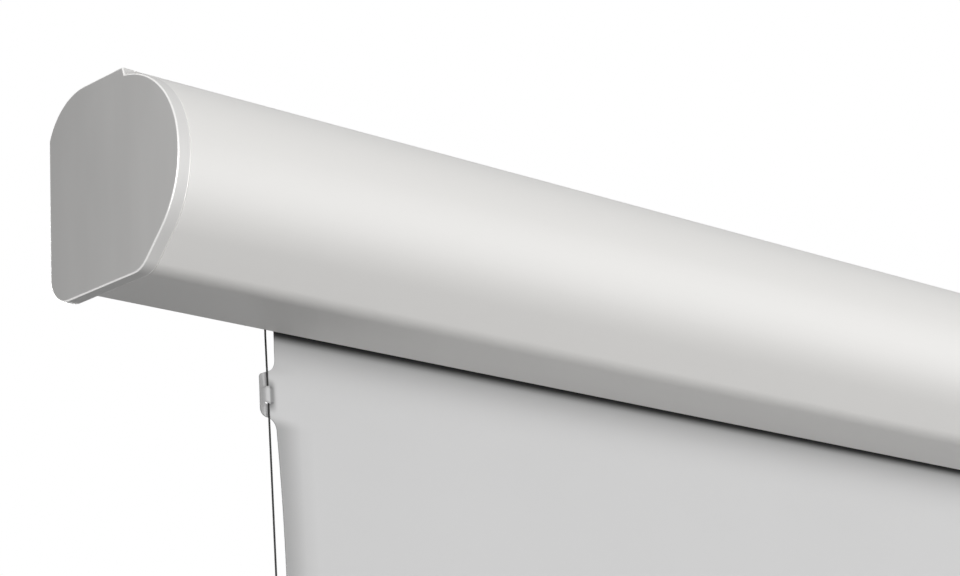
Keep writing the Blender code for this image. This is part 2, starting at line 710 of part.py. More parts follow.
def make_motor(axis):
    """Tubular motor: it hangs on the right end plate and turns the tube from inside."""
    seat = CAP_THICKNESS + CLEARANCE
    socket = MOTOR_PEG_RADIUS + CLEARANCE
    socket_end = seat + MOTOR_PEG_LENGTH
    socket_outer = socket + MOTOR_SOCKET_WALL
    bracket = [
        (socket_outer, socket_end),
        (socket_outer, seat + FLANGE_THICKNESS),
        (FLANGE_RADIUS, seat + FLANGE_THICKNESS),
        (FLANGE_RADIUS, seat),
        (socket, seat),
        (socket, socket_end),
    ]
    keep(
        turned("motor_bracket", bracket, 1, ROLLER_D, ROLLER_H, 24, closed=True), STEEL
    )
    head_from = socket_end + CLEARANCE
    head_to = head_from + MOTOR_HEAD_LENGTH
    head = [
        (0, head_to),
        (MOTOR_HEAD_RADIUS, head_to),
        (MOTOR_HEAD_RADIUS, head_from),
        (MOTOR_PEG_RADIUS, head_from),
        (MOTOR_PEG_RADIUS, seat + CLEARANCE),
        (0, seat + CLEARANCE),
    ]
    head_piece = turned("motor_head", head, 1, ROLLER_D, ROLLER_H, 24)
    make_limit_buttons(head_piece, (head_from + head_to) / 2)
    keep(head_piece, BLACK_PLASTIC)
    body_from = head_to + CLEARANCE
    body_to = body_from + MOTOR_LENGTH
    body = rod("motor_tube", MOTOR_RADIUS, 1, (body_from, body_to), ROLLER_D, ROLLER_H, 24)
    keep(body, MOTOR_GREY)

    rim = TUBE_BORE - CLEARANCE
    crown_from = max(TUBE_RIGHT, head_to) + CROWN_OFFSET
    crown = ring_profile(rim, MOTOR_RADIUS + CLEARANCE, crown_from, crown_from + CROWN_LENGTH)
    shaft_from = body_to + CLEARANCE
    wheel_from = shaft_from + WHEEL_WEB / 2
    wheel_to = wheel_from + WHEEL_LENGTH
    hub = SHAFT_RADIUS + CLEARANCE + WHEEL_HUB_WALL
    inner_rim = rim - WHEEL_RIM_WALL
    web_from = wheel_from + (WHEEL_LENGTH - WHEEL_WEB) / 2
    web_to = web_from + WHEEL_WEB
    wheel = [
        (rim, wheel_to),
        (rim, wheel_from),
        (inner_rim, wheel_from),
        (inner_rim, web_from),
        (hub, web_from),
        (hub, wheel_from),
        (SHAFT_RADIUS + CLEARANCE, wheel_from),
        (SHAFT_RADIUS + CLEARANCE, wheel_to),
        (hub, wheel_to),
        (hub, web_to),
        (inner_rim, web_to),
        (inner_rim, wheel_to),
    ]
    turning = [
        (turned("motor_crown", crown, 1, ROLLER_D, ROLLER_H, 24, closed=True), BLACK_PLASTIC),
        (turned("drive_wheel", wheel, 1, ROLLER_D, ROLLER_H, 24, closed=True), BLACK_PLASTIC),
        (rod("drive_shaft", SHAFT_RADIUS, 1, (shaft_from, wheel_to), ROLLER_D, ROLLER_H), STEEL),
    ]
    for obj, finish in turning:
        keep(obj, finish)
        ride(obj, axis)
    return head_from, head_to


def make_limit_buttons(head, centre_u):
    """The two buttons under the motor's head that set where the screen stops."""
    d = ROLLER_D - BUTTON_OFFSET
    surface = ROLLER_H - math.sqrt(MOTOR_HEAD_RADIUS ** 2 - BUTTON_OFFSET ** 2)
    foot = surface - BUTTON_PROUD
    pocket_top = surface + BUTTON_DEPTH
    top = pocket_top - BUTTON_TRAVEL - CLEARANCE
    for label, sign in (("upper", -1), ("lower", 1)):
        x = place_x(1, centre_u + sign * BUTTON_SPREAD / 2)
        cut(head, helper(upright_rod(
            f"button_pocket_{label}", BUTTON_RADIUS + CLEARANCE, x, d,
            foot - BUTTON_TRAVEL, pocket_top,
        )))
        button = keep(
            upright_rod(f"{label}_limit_button", BUTTON_RADIUS, x, d, foot, top), GREY_PLASTIC
        )
        ride(button, joint_empty(f"{label}_button_axis", place(x, d, foot)))


def cord_u(h):
    """u of a tension cord at a height: bowed inwards by the tabs, most at mid-drop."""
    share = min(max(-h / DROP, 0.0), 1.0)
    return CORD_EDGE + 4 * CORD_BOW * share * (1 - share)


def tab_heights():
    return [FIRST_TAB - TAB_PITCH * n for n in range(TAB_COUNT)]


def tab_points(centre):
    """One tab on the left side as (u, h), from the side above it to the side below."""
    cord = cord_u(centre)
    neck, outer = cord + TAB_NECK, cord - TAB_REACH
    top, foot = centre + TAB_HEIGHT / 2, centre - TAB_HEIGHT / 2
    upper = (outer + TAB_UPPER_CORNER, top - TAB_UPPER_CORNER)
    lower = (outer + TAB_LOWER_CORNER, foot + TAB_LOWER_CORNER)
    return (
        arc((neck - TAB_FILLET, top + TAB_FILLET), TAB_FILLET, 0, -90, 30)
        + arc(upper, TAB_UPPER_CORNER, 90, 180, 30)
        + arc(lower, TAB_LOWER_CORNER, 180, 270, 30)
        + arc((neck - TAB_FILLET, foot - TAB_FILLET), TAB_FILLET, 90, 0, 30)
    )


def fabric_side():
    """The fabric's left side as (u, h), from the roller down to the hem."""
    points = [(FABRIC_EDGE, ROLLER_H)]
    heights = tab_heights()
    for n, centre in enumerate(heights):
        points += tab_points(centre)
        start = points[-1]
        if n + 1 < len(heights):
            target = tab_points(heights[n + 1])[0]
        else:
            target = (HEM_EDGE, BAR_TOP)
        for k in range(1, SCALLOP_POINTS + 1):
            share = k / (SCALLOP_POINTS + 1)
            dip = SCALLOP * 4 * share * (1 - share)
            u = start[0] + (target[0] - start[0]) * share + dip
            points.append((u, start[1] + (target[1] - start[1]) * share))
    points += [(HEM_EDGE, BAR_TOP), (HEM_EDGE, FABRIC_FOOT)]
    return points


def band_outline():
    """Section of the band that a tab holds over its cord, as (across, out from the fabric)."""
    foot = -FABRIC_THICKNESS / 2
    rise = 2 * (CORD_RADIUS + CLEARANCE)
    top = rise + BAND_THICKNESS
    inner_foot = BAND_HALF_WIDTH - BAND_THICKNESS
    inner_crest = BAND_CREST - BAND_THICKNESS / 4
    return [
        (-BAND_HALF_WIDTH, foot), (-inner_foot, foot), (-inner_crest, rise), (inner_crest, rise),
        (inner_foot, foot), (BAND_HALF_WIDTH, foot), (BAND_HALF_WIDTH, 0), (BAND_CREST, top),
        (-BAND_CREST, top), (-BAND_HALF_WIDTH, 0),
    ]


def make_fabric():
    """The screen surface with its scalloped sides, and the band that each tab holds its cord with."""
    left = [(place_x(-1, u), h) for u, h in fabric_side()]
    right = [(place_x(1, u), h) for u, h in fabric_side()][::-1]
    fabric = flat_piece("screen_fabric", left + right, FABRIC_THICKNESS, front_matrix(FABRIC_D))
    bands = []
    for side in SIDES.values():
        for n, h in enumerate(tab_heights()):
            where = place(place_x(side, cord_u(h)), FABRIC_FRONT, h)
            turn = Matrix.Rotation(math.radians(180), 4, "X")
            bands.append(flat_piece(
                f"band_{side}_{n}", band_outline(), BAND_HEIGHT, Matrix.Translation(where) @ turn
            ))
    unite(fabric, group("bands", bands))
    keep(fabric, FABRIC_WHITE)


def make_cord(end, side):
    """A tension cord, from its spool on the roller down to the knob's spindle."""
    heights = [ROLLER_H, 0, *tab_heights(), BAR_TOP, KNOB_H]
    curve = bpy.data.curves.new(f"tension_cord_{end}", "CURVE")
    curve.dimensions = "3D"
    curve.bevel_depth = CORD_RADIUS
    curve.bevel_resolution = 2
    curve.use_fill_caps = True
    spline = curve.splines.new("POLY")
    spline.points.add(len(heights) - 1)
    for point, h in zip(spline.points, heights):
        point.co = (*place(place_x(side, cord_u(h)), CORD_D, h), 1)
    keep(bpy.data.objects.new(f"tension_cord_{end}", curve), CORD_BLACK)


def make_weight_bar(axis):
    """The bar's extrusion and the rod that holds the fabric's hem in it."""
    d_range = (FABRIC_D - BAR_DEPTH / 2, FABRIC_D + BAR_DEPTH / 2)
    ends = (BAR_END, OVERALL_LENGTH - BAR_END)
    through = (BAR_END - BLOCK_SPIGOT, OVERALL_LENGTH - BAR_END + BLOCK_SPIGOT)
    bar = box("weight_bar", -1, ends, d_range, (BAR_UNDERSIDE, BAR_TOP), BAR_BEVEL)
    chamber = (BAR_UNDERSIDE + BAR_WALL, BAR_UNDERSIDE + BAR_WALL + BAR_CHAMBER_HEIGHT)
    inner = (d_range[0] + BAR_WALL, d_range[1] - BAR_WALL)
    slot = (FABRIC_D - BAR_SLOT_WIDTH / 2, FABRIC_D + BAR_SLOT_WIDTH / 2)
    cut(bar, helper(box("bar_chamber", -1, through, inner, chamber)))
    cut(bar, helper(box("bar_slot", -1, through, slot, (ROD_H, BAR_TOP + BAR_WALL))))
    cut(bar, helper(rod("rod_channel", ROD_CHANNEL_RADIUS, -1, through, FABRIC_D, ROD_H, 20)))
    keep(bar, PAINT_WHITE)
    hem = rod(
        "hem_rod", ROD_RADIUS, -1, (FABRIC_EDGE + CLEARANCE, OVERALL_LENGTH - FABRIC_EDGE),
        FABRIC_D, ROD_H, 16,
    )
    keep(hem, GREY_PLASTIC)
    ride(bar, axis)
    ride(hem, axis)


def make_block(end, side, axis):
    """The block that closes the bar's end and lets the cord down to the knob's spindle."""
    d_range = (FABRIC_D - BAR_DEPTH / 2, FABRIC_D + BAR_DEPTH / 2)
    block = box(
        f"end_block_{end}", side, (BLOCK_END, BLOCK_INNER), d_range,
        (BAR_UNDERSIDE, BAR_TOP), BAR_BEVEL,
    )
    slip = BAR_WALL + CLEARANCE
    spigot_h = (BAR_UNDERSIDE + slip, BAR_UNDERSIDE + BAR_WALL + BAR_CHAMBER_HEIGHT - CLEARANCE)
    spigot = box(
        f"spigot_{end}", side, (BLOCK_INNER - BAR_WALL, BLOCK_INNER + BLOCK_SPIGOT),
        (d_range[0] + slip, d_range[1] - slip), spigot_h,
    )
    unite(block, helper(spigot))
    bore = (BLOCK_END - SPINDLE_RADIUS, BLOCK_END + SPINDLE_REACH + CLEARANCE)
    cut(block, helper(rod(
        f"spindle_bore_{end}", SPINDLE_RADIUS + CLEARANCE, side, bore, KNOB_D, KNOB_H, 24
    )))
    cut(block, helper(upright_rod(
        f"cord_hole_{end}", CORD_HOLE_RADIUS, place_x(side, CORD_EDGE), CORD_D,
        KNOB_H - SPINDLE_RADIUS, BAR_TOP + BAR_WALL, 16,
    )))
    keep(block, BLACK_PLASTIC)
    ride(block, axis)


def make_knob(end, side, bar_axis):
    """Fluted knob and spindle in one: turning it winds the cord tighter."""
    outer = BLOCK_END - CLEARANCE - KNOB_LENGTH
    inner = BLOCK_END - CLEARANCE
    reach = BLOCK_END + SPINDLE_REACH
    profile = [
        (0, reach),
        (SPINDLE_RADIUS, reach),
        (SPINDLE_RADIUS, inner),
        (KNOB_RADIUS, inner),
        (KNOB_RADIUS, outer + KNOB_CHAMFER),
        (KNOB_RADIUS - KNOB_CHAMFER, outer),
        (0, outer),
    ]
    knob = turned(f"tension_knob_{end}", profile, side, KNOB_D, KNOB_H, 30)
    flutes = []
    for n in range(KNOB_FLUTES):
        d, h = polar((KNOB_D, KNOB_H), KNOB_RADIUS, 360 * n / KNOB_FLUTES)
        span = (outer - KNOB_LENGTH, inner - KNOB_CHAMFER)
        flutes.append(rod(f"flute_{end}_{n}", KNOB_FLUTE_RADIUS, side, span, d, h, 8))
    cut(knob, group(f"flutes_{end}", flutes))
    keep(knob, GREY_PLASTIC)
    axis = joint_empty(f"knob_axis_{end}", place(place_x(side, BLOCK_END), KNOB_D, KNOB_H))
    ride(axis, bar_axis)
    ride(knob, axis)


def make_bracket(end, side):
    """Angle bracket over the case's top, its two bolts and their nuts in the rail."""
    span = (BRACKET_U - BRACKET_WIDTH / 2, BRACKET_U + BRACKET_WIDTH / 2)
    leg_top = LEG_UNDERSIDE + BRACKET_STEEL
    steel = BRACKET_STEEL
    outline = [
        (-BACK_GAP, LEG_UNDERSIDE),
        (BRACKET_REACH, LEG_UNDERSIDE),
        (BRACKET_REACH, leg_top),
        (steel - BACK_GAP, leg_top),
        (steel - BACK_GAP, LEG_UNDERSIDE + BRACKET_RISE),
        (-BACK_GAP, LEG_UNDERSIDE + BRACKET_RISE),
    ]
    bracket = section_piece(f"wall_bracket_{end}", outline, side, *span)
    centre = place_x(side, BRACKET_U)
    for n, sign in enumerate((-1, 1)):
        hole = screw_hole(f"wall_hole_{end}_{n}", centre + sign * BRACKET_HOLE_SPREAD / 2)
        cut(bracket, helper(hole))
        x = centre + sign * BOLT_SPREAD / 2
        bolt_hole = upright_rod(
            f"bolt_hole_{end}_{n}", BOLT_RADIUS + HOLE_CLEARANCE, x, RAIL_CENTRE,
            LEG_UNDERSIDE - steel, leg_top + steel, 20,
        )
        cut(bracket, helper(bolt_hole))
        make_bolt(f"{end}_{n + 1}", x, leg_top)
    keep(bracket, STEEL)


def screw_hole(name, x):
    """A cutter through a bracket's upright leg, level with the origin."""
    hole = upright_rod(name, BRACKET_HOLE_RADIUS, 0, 0, -BRACKET_STEEL, 2 * BRACKET_STEEL, 20)
    hole.matrix_world = Matrix.Translation((x, 0, 0)) @ Matrix.Rotation(math.radians(90), 4, "X")
    return hole


def make_bolt(label, x, leg_top):
    """Hexagon-headed bolt down into a square nut that slides in the rail."""
    nut_top = CASE_TOP - RAIL_LIP - CLEARANCE
    nut_foot = nut_top - NUT_THICKNESS
    head_foot = leg_top + CLEARANCE
    half = NUT_SIDE / 2
    nut = box(
        f"slot_nut_{label}", -1, (HALF_LENGTH + x - half, HALF_LENGTH + x + half),
        (RAIL_CENTRE - half, RAIL_CENTRE + half), (nut_foot, nut_top),
    )
    thread = upright_rod(
        f"nut_thread_{label}", BOLT_RADIUS + CLEARANCE, x, RAIL_CENTRE,
        nut_foot - NUT_THICKNESS, nut_top + NUT_THICKNESS, 20,
    )
    cut(nut, helper(thread))
    keep(nut, STEEL)
    shank = upright_rod(
        f"bracket_bolt_{label}", BOLT_RADIUS, x, RAIL_CENTRE,
        nut_foot, head_foot + BOLT_HEAD_HEIGHT / 2, 20,
    )
    head = upright_rod(
        f"bolt_head_{label}", BOLT_HEAD_RADIUS, x, RAIL_CENTRE,
        head_foot, head_foot + BOLT_HEAD_HEIGHT, 6,
    )
    unite(shank, helper(head))
    keep(shank, STEEL)


def make_control_box():
    """Receiver box on the case's floor beside the motor, with its lid."""
    floor = CASE_INSET + CASE_WALL + CLEARANCE
    top = floor + CONTROL_HEIGHT
    span = (CONTROL_U, CONTROL_U + CONTROL_LENGTH)
    wall = CONTROL_WALL
    d_range = control_range()
    inner = (d_range[0] + wall, d_range[1] - wall)
    tray = box("control_box", 1, span, d_range, (floor, top), wall / 2)
    hollow = box(
        "control_hollow", 1, (span[0] + wall, span[1] - wall),
        inner, (floor + wall, top + wall),
    )
    cut(tray, helper(hollow))
    keep(tray, BLACK_PLASTIC)
    lid = box(
        "control_lid", 1, span, d_range, (top + CLEARANCE, top + CLEARANCE + CONTROL_LID)
    )
    keep(lid, BLACK_PLASTIC)
    board = box(
        "control_board", 1,
        (span[0] + wall + CLEARANCE, span[1] - wall - CLEARANCE),
        (inner[0] + CLEARANCE, inner[1] - CLEARANCE),
        (floor + wall + CLEARANCE, floor + 2 * wall + CLEARANCE),
    )
    keep(board, BOARD_GREEN)


def make_gland():
    """Rubber gland in the case's floor where the mains cord would enter."""
    outer = CASE_INSET - CLEARANCE
    inner = CASE_INSET + CASE_WALL + CLEARANCE
    neck = GLAND_HOLE_RADIUS - CLEARANCE
    profile = [
        (GLAND_BORE_RADIUS, inner + GLAND_FLANGE),
        (GLAND_FLANGE_RADIUS, inner + GLAND_FLANGE),
        (GLAND_FLANGE_RADIUS, inner),
        (neck, inner),
        (neck, outer),
        (GLAND_FLANGE_RADIUS, outer),
        (GLAND_FLANGE_RADIUS, outer - GLAND_FLANGE),
        (GLAND_BORE_RADIUS, outer - GLAND_FLANGE),
    ]
    gland = turned("mains_gland", profile, 1, 0, 0, 24, closed=True)
    gland.matrix_world = Matrix.Translation(
        place(place_x(1, GLAND_U), sum(control_range()) / 2, 0)
    )
    keep(gland, RUBBER_BLACK)


def make_motor_lead(head_from, head_to):
    """Lead from under the motor's head to the end of the control box."""
    start = Vector((
        (head_from + head_to) / 2, ROLLER_D, ROLLER_H - MOTOR_HEAD_RADIUS - CLEARANCE
    ))
    floor = CASE_INSET + CASE_WALL + CLEARANCE
    finish = Vector((CONTROL_U - CLEARANCE, sum(control_range()) / 2, floor + CONTROL_HEIGHT / 2))
    down = start + Vector((0, 0, -1)) * (start.z - finish.z)
    curve = bpy.data.curves.new("motor_lead", "CURVE")
    curve.dimensions = "3D"
    curve.bevel_depth = LEAD_RADIUS
    curve.bevel_resolution = 2
    curve.use_fill_caps = True
    spline = curve.splines.new("POLY")
    spline.points.add(LEAD_POINTS - 1)
    pull = Vector((finish.x - (finish.x - start.x) * 0.6, finish.y, finish.z))
    for n, point in enumerate(spline.points):
        t = n / (LEAD_POINTS - 1)
        u, d, h = (
            start * (1 - t) ** 3 + down * 3 * t * (1 - t) ** 2
            + pull * 3 * t * t * (1 - t) + finish * t ** 3
        )
        point.co = (*place(place_x(1, u), d, h), 1)
    keep(bpy.data.objects.new("motor_lead", curve), RUBBER_BLACK)


def joint_empty(name, location):
    """An empty on a joint's axis, for the pieces that move on it."""
    empty = bpy.data.objects.new(name, None)
    parts.objects.link(empty)
    empty.location = location
    return empty


def ride(obj, axis):
    """Parents a placed object to an empty and leaves it where it is."""
    bpy.context.view_layer.update()
    obj.parent = axis
    obj.matrix_parent_inverse = axis.matrix_world.inverted()


clear_scene()
parts = new_collection("projector_screen")
cutters = new_collection("cutters")

make_case()
for end_name, end_side in SIDES.items():
    make_end(end_name, end_side)
    make_bracket(end_name, end_side)
make_idler()
roller_axis = joint_empty("roller_axis", place(0, ROLLER_D, ROLLER_H))
make_roller(roller_axis)
motor_head_range = make_motor(roller_axis)
make_control_box()
make_gland()
make_motor_lead(*motor_head_range)
make_fabric()
lift_axis = joint_empty("screen_lift", place(0, FABRIC_D, BAR_TOP))
make_weight_bar(lift_axis)
for end_name, end_side in SIDES.items():
    make_cord(end_name, end_side)
    make_block(end_name, end_side, lift_axis)
    make_knob(end_name, end_side, lift_axis)
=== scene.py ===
# %% [markdown]
# # A motorised projector screen with tensioned fabric
#
# The screen hangs on a wall: a long white case holds a roller, and the fabric comes down out of a
# slot in its floor. Two black cords run down beside the fabric and pull it flat by its tabs. The
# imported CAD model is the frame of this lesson. Each cell makes one piece or one finish on it.

import json
import math

import bmesh
import bpy
from bmesh.types import BMEdge, BMFace, BMVert
from mathutils import Matrix, Vector


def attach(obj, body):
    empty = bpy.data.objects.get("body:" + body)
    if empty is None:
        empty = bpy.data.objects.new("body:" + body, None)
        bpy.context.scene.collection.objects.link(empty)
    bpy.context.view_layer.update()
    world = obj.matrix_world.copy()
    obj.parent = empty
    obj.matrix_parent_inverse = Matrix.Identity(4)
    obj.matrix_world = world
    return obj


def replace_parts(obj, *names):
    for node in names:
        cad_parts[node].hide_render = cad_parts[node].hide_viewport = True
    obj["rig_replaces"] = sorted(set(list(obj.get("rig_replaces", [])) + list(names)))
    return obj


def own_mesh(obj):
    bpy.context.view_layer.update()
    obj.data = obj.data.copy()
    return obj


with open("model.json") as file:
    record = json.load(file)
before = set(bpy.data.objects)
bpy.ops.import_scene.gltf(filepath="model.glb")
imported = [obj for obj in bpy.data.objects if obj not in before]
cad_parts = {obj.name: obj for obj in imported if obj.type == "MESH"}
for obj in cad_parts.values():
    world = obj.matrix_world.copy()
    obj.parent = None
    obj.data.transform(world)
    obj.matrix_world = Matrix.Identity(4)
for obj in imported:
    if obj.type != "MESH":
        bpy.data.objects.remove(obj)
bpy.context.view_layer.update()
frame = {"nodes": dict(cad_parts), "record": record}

# %% [markdown]
# ## The camera
#
# The photograph was taken from the front left, from below, with a long lens. A camera is best placed
# first, because everything that is judged later is judged through it. Its matrix is built from three
# angles: how far it looks to the right of straight ahead, how far up, and how much it leans.

# %% Camera
CAMERA_PLACE = Vector((-2.4221, -1.5467, -0.7586))
CAMERA_TURN = math.radians(44.4276)
CAMERA_RISE = math.radians(17.2252)
CAMERA_LEAN = math.radians(-3.2863)
CAMERA_LENS = 106.987  # mm, on a sensor 36 mm wide


def camera_axes(turn, rise, lean):
    """The camera's right, up and backward directions."""
    ahead = Vector((
        math.sin(turn) * math.cos(rise), math.cos(turn) * math.cos(rise), math.sin(rise)
    ))
    level = Vector((math.cos(turn), -math.sin(turn), 0.0))
    upright = level.cross(ahead)
    right = math.cos(lean) * level + math.sin(lean) * upright
    up = math.cos(lean) * upright - math.sin(lean) * level
    return right, up, -ahead


def show(name, data):
    """A new object with this data, linked to the scene."""
    made = bpy.data.objects.new(name, data)
    bpy.context.scene.collection.objects.link(made)
    return made


camera = show("camera", bpy.data.cameras.new("camera"))
camera.data.lens, camera.data.sensor_width, camera.data.clip_end = CAMERA_LENS, 36.0, 60.0
axes = camera_axes(CAMERA_TURN, CAMERA_RISE, CAMERA_LEAN)
camera.matrix_world = Matrix.Translation(CAMERA_PLACE) @ Matrix(axes).transposed().to_4x4()
bpy.context.scene.camera = camera
print("camera looks along", tuple(round(-value, 3) for value in axes[2]))

# %% [markdown]
# ## Where things are
#
# The case has one cross-section from end to end, so every piece in it is easiest to place by two
# numbers in that section: d, how far it stands out from the case's back towards the room, and h,
# how high it lies above the case's underside. The third number, u, is how far in it lies from the
# face of the nearer end cap.

# %% Sizes and places
HALF_LENGTH = 1.321
BACK_GAP = 0.001
UNDERSIDE_Z = -0.1742
CLEARANCE = 0.0003
SAME = 0.00001  # two places closer than this are one
SIDES = {"left": -1, "right": 1}


def place(x, d, h):
    return Vector((x, -(BACK_GAP + d), UNDERSIDE_Z + h))


def place_x(side, u):
    return side * (HALF_LENGTH - u)


def on_circle(centre, radius, degrees):
    turn = math.radians(degrees)
    return (centre[0] + radius * math.cos(turn), centre[1] + radius * math.sin(turn))


print("the case's underside is at", UNDERSIDE_Z, "and its ends at", place_x(-1, 0), place_x(1, 0))

# %% [markdown]
# ## Drawing a section
#
# An extruded or moulded piece begins as a line. Instead of typing out every point of a curve, the
# line is drawn with operators, like a pen: a straight run extrudes the last vertex, and an arc
# spins it about a centre. The closed line is then filled and pulled out along the case.

# %% A pen that draws sections
def only(kind, parts):
    """The vertices, edges or faces among what an operator made."""
    return [part for part in parts if isinstance(part, kind)]


class Section:
    """A line drawn in (d, h) at one x, which can be filled and pulled out along X."""

    def __init__(self, x, start):
        self.mesh = bmesh.new()
        self.x = x
        self.first = self.tip = self.mesh.verts.new(place(x, *start))

    def line(self, *corners):
        """Draws a straight run to each corner in turn."""
        for corner in corners:
            made = bmesh.ops.extrude_vert_indiv(self.mesh, verts=[self.tip])
            self.tip = made["verts"][0]
            self.tip.co = place(self.x, *corner)
        return self

    def arc(self, centre, degrees, step=3.0):
        """Spins the tip about a centre, counter-clockwise as seen in the (d, h) drawing."""
        made = bmesh.ops.spin(
            self.mesh, geom=[self.tip], cent=place(self.x, *centre), axis=(-1, 0, 0),
            dvec=(0, 0, 0), angle=math.radians(degrees),
            steps=max(2, math.ceil(abs(degrees) / step)), use_duplicate=False,
        )
        self.tip = only(BMVert, made["geom_last"])[0]
        return self

    def close(self):
        self.mesh.edges.new((self.tip, self.first))
        return self

    def pull(self, *stops):
        """Fills the closed line and pulls it out from stop to stop; returns the last face."""
        face = bmesh.ops.contextual_create(self.mesh, geom=self.mesh.edges[:])["faces"]
        for n, stop in enumerate(stops):
            made = bmesh.ops.extrude_face_region(self.mesh, geom=face)
            if n:
                bmesh.ops.delete(self.mesh, geom=face, context="FACES_ONLY")
            face = only(BMFace, made["geom"])
            for vertex in face[0].verts:
                vertex.co.x = stop
        return face[0]


# %% Filing a finished shape as a piece
SHARP_ANGLE = math.radians(32)
pieces = {}


def show_shape(name, shape):
    """Turns a bmesh into an object."""
    mesh = bpy.data.meshes.new(name)
    shape.to_mesh(mesh)
    shape.free()
    return show(name, mesh)


def file_piece(name, shape, finish, body, replaced=(), bevel=0.0):
    """Makes a piece of a bmesh, shaded smooth except at its sharp edges."""
    bmesh.ops.recalc_face_normals(shape, faces=shape.faces)
    for face in shape.faces:
        face.smooth = True
    if not bevel:
        for edge in shape.edges:
            edge.smooth = len(edge.link_faces) != 2 or edge.calc_face_angle(0) < SHARP_ANGLE
    made = pieces[name] = show_shape(name, shape)
    made.data.materials.append(finish.material)
    if bevel:
        rounding = made.modifiers.new("rounded edges", "BEVEL")
        rounding.width, rounding.segments = bevel, 2
        rounding.limit_method, rounding.angle_limit = "ANGLE", SHARP_ANGLE
        rounding.harden_normals = True
    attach(made, body)
    if replaced:
        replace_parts(made, *replaced)
    print(f"{name}: {len(made.data.vertices)} vertices, rides on {body}")
    return made


# %% [markdown]
# ## Shader maths
#
# A material in Blender is a graph of nodes. Long graphs are easier to read as sums, so one small
# class wraps the output of a node, and +, - and * on it add Math nodes. Every other node comes from
# one method, which sets the node's own settings first and then its sockets.

# %% A graph of nodes and the flow of values in it
class Flow:
    """One output of a node."""

    def __init__(self, graph, socket):
        self.graph, self.socket = graph, socket

    def maths(self, operation, *operands):
        return self.graph.add("ShaderNodeMath", operands, operation=operation)

    def __add__(self, other):
        return self.maths("ADD", self, other)

    def __radd__(self, other):
        return self.maths("ADD", other, self)

    def __sub__(self, other):
        return self.maths("SUBTRACT", self, other)

    def __rsub__(self, other):
        return self.maths("SUBTRACT", other, self)

    def __mul__(self, other):
        return self.maths("MULTIPLY", self, other)

    def __rmul__(self, other):
        return self.maths("MULTIPLY", other, self)
class Graph:
    """A tree of nodes that are added one by one."""

    def __init__(self, tree):
        self.tree = tree

    def add(self, kind, sockets=(), output=0, **settings):
        """Adds a node: its settings first, then the value or link of each socket."""
        node = self.tree.nodes.new(kind)
        for setting, value in settings.items():
            setattr(node, setting, value)
        pairs = sockets.items() if isinstance(sockets, dict) else enumerate(sockets)
        for key, value in pairs:
            self.join(value, node.inputs[key])
        return Flow(self, node.outputs[output])

    def join(self, value, socket):
        if isinstance(value, Flow):
            self.tree.links.new(value.socket, socket)
        else:
            socket.default_value = value

    def mix(self, share, first, second):
        """Mixes two colours."""
        return self.add(
            "ShaderNodeMix", {0: share, 6: first, 7: second}, output=2, data_type="RGBA"
        )


# %% A finish
class Finish(Graph):
    """The graph of a material."""

    def __init__(self, name, **constants):
        self.slot = name
        self.material = bpy.data.materials.new(name.replace("_", " "))
        self.material.use_nodes = True
        super().__init__(self.material.node_tree)
        self.shader = self.tree.nodes["Principled BSDF"]
        for socket, value in constants.items():
            self.shader.inputs[socket.replace("_", " ")].default_value = value

    def where(self, stretch=(1, 1, 1), source="Object"):
        """Object or UV coordinates, in metres, stretched along each axis."""
        place_on = self.add("ShaderNodeTexCoord", output=source)
        return self.add("ShaderNodeMapping", {"Vector": place_on, "Scale": stretch})

    def noise(self, scale, detail=2.0, roughness=0.5, stretch=(1, 1, 1), source="Object"):
        return self.add("ShaderNodeTexNoise", {
            "Vector": self.where(stretch, source), "Scale": scale, "Detail": detail,
            "Roughness": roughness,
        })

    def wear(self, colour, roughness, metallic=None):
        """Feeds what changes over the surface into the shader."""
        fed = {"Base Color": colour, "Roughness": roughness, "Metallic": metallic}
        for socket, value in fed.items():
            if value is not None:
                self.join(value, self.shader.inputs[socket])

    def relief(self, height, depth, strength):
        """Raises the surface by height, from 0 to 1, times a depth in metres."""
        bump = self.add(
            "ShaderNodeBump", {"Height": height, "Distance": depth, "Strength": strength}
        )
        self.join(bump, self.shader.inputs["Normal"])
        print(self.slot, "has", len(self.tree.nodes), "nodes")


def grey(value, tint=(1.0, 1.0, 1.0)):
    """A colour of one brightness, tinted."""
    return (*(value * part for part in tint), 1.0)


# %% [markdown]
# ## White paint
#
# The case and the weight bar are aluminium extrusions with a baked white coat. It looks plain, but
# a real coat is a little warm, has a fine orange-peel skin, and follows the faint lines that the
# die leaves along the metal. All three are noise, at three scales, and none shows from far off.

# %% White paint
WARM = (1.0, 0.988, 0.966)

paint = Finish("white_paint")
drift = paint.noise(3.0, detail=3.0)
die_lines = paint.noise(1.0, detail=4.0, roughness=0.7, stretch=(2.0, 900.0, 900.0))
skin = paint.noise(1100.0)
paint.wear(
    colour=paint.mix(drift * 0.6 + die_lines * 0.4, grey(0.81, WARM), grey(0.85, WARM)),
    roughness=0.37 + die_lines * 0.08 + drift * 0.04,
)
paint.relief(skin * 0.8 + die_lines * 0.4, depth=0.00004, strength=0.35)

# %% [markdown]
# ## Moulded cap plastic
#
# The end caps are injection moulded. Their white is cooler and darker than the paint beside it, and
# shade is painted into it, so that it is greyer towards the wall. The mould's spark-eroded skin gives
# them a fine, even grain with a duller shine. Their edges carry a painted highlight: a bright,
# glossy, metallic colour. A material could guess the edges from the shape's curvature, but a value at
# each vertex, named edge, says exactly where they are.

# %% Cap plastic
COOL = (1.0, 0.99, 0.975)
# painted shade: the cap's white is painted paler towards the room and greyer towards the wall
PAINTED_SHADE_SLOPE = -5.0  # the share of the paler white gained per metre of Y, which falls towards the room
# painted highlight: where the edge value begins to brighten the rim, and how fast it grows
RIM_HIGHLIGHT_START, RIM_HIGHLIGHT_GAIN = 0.4, 3.0

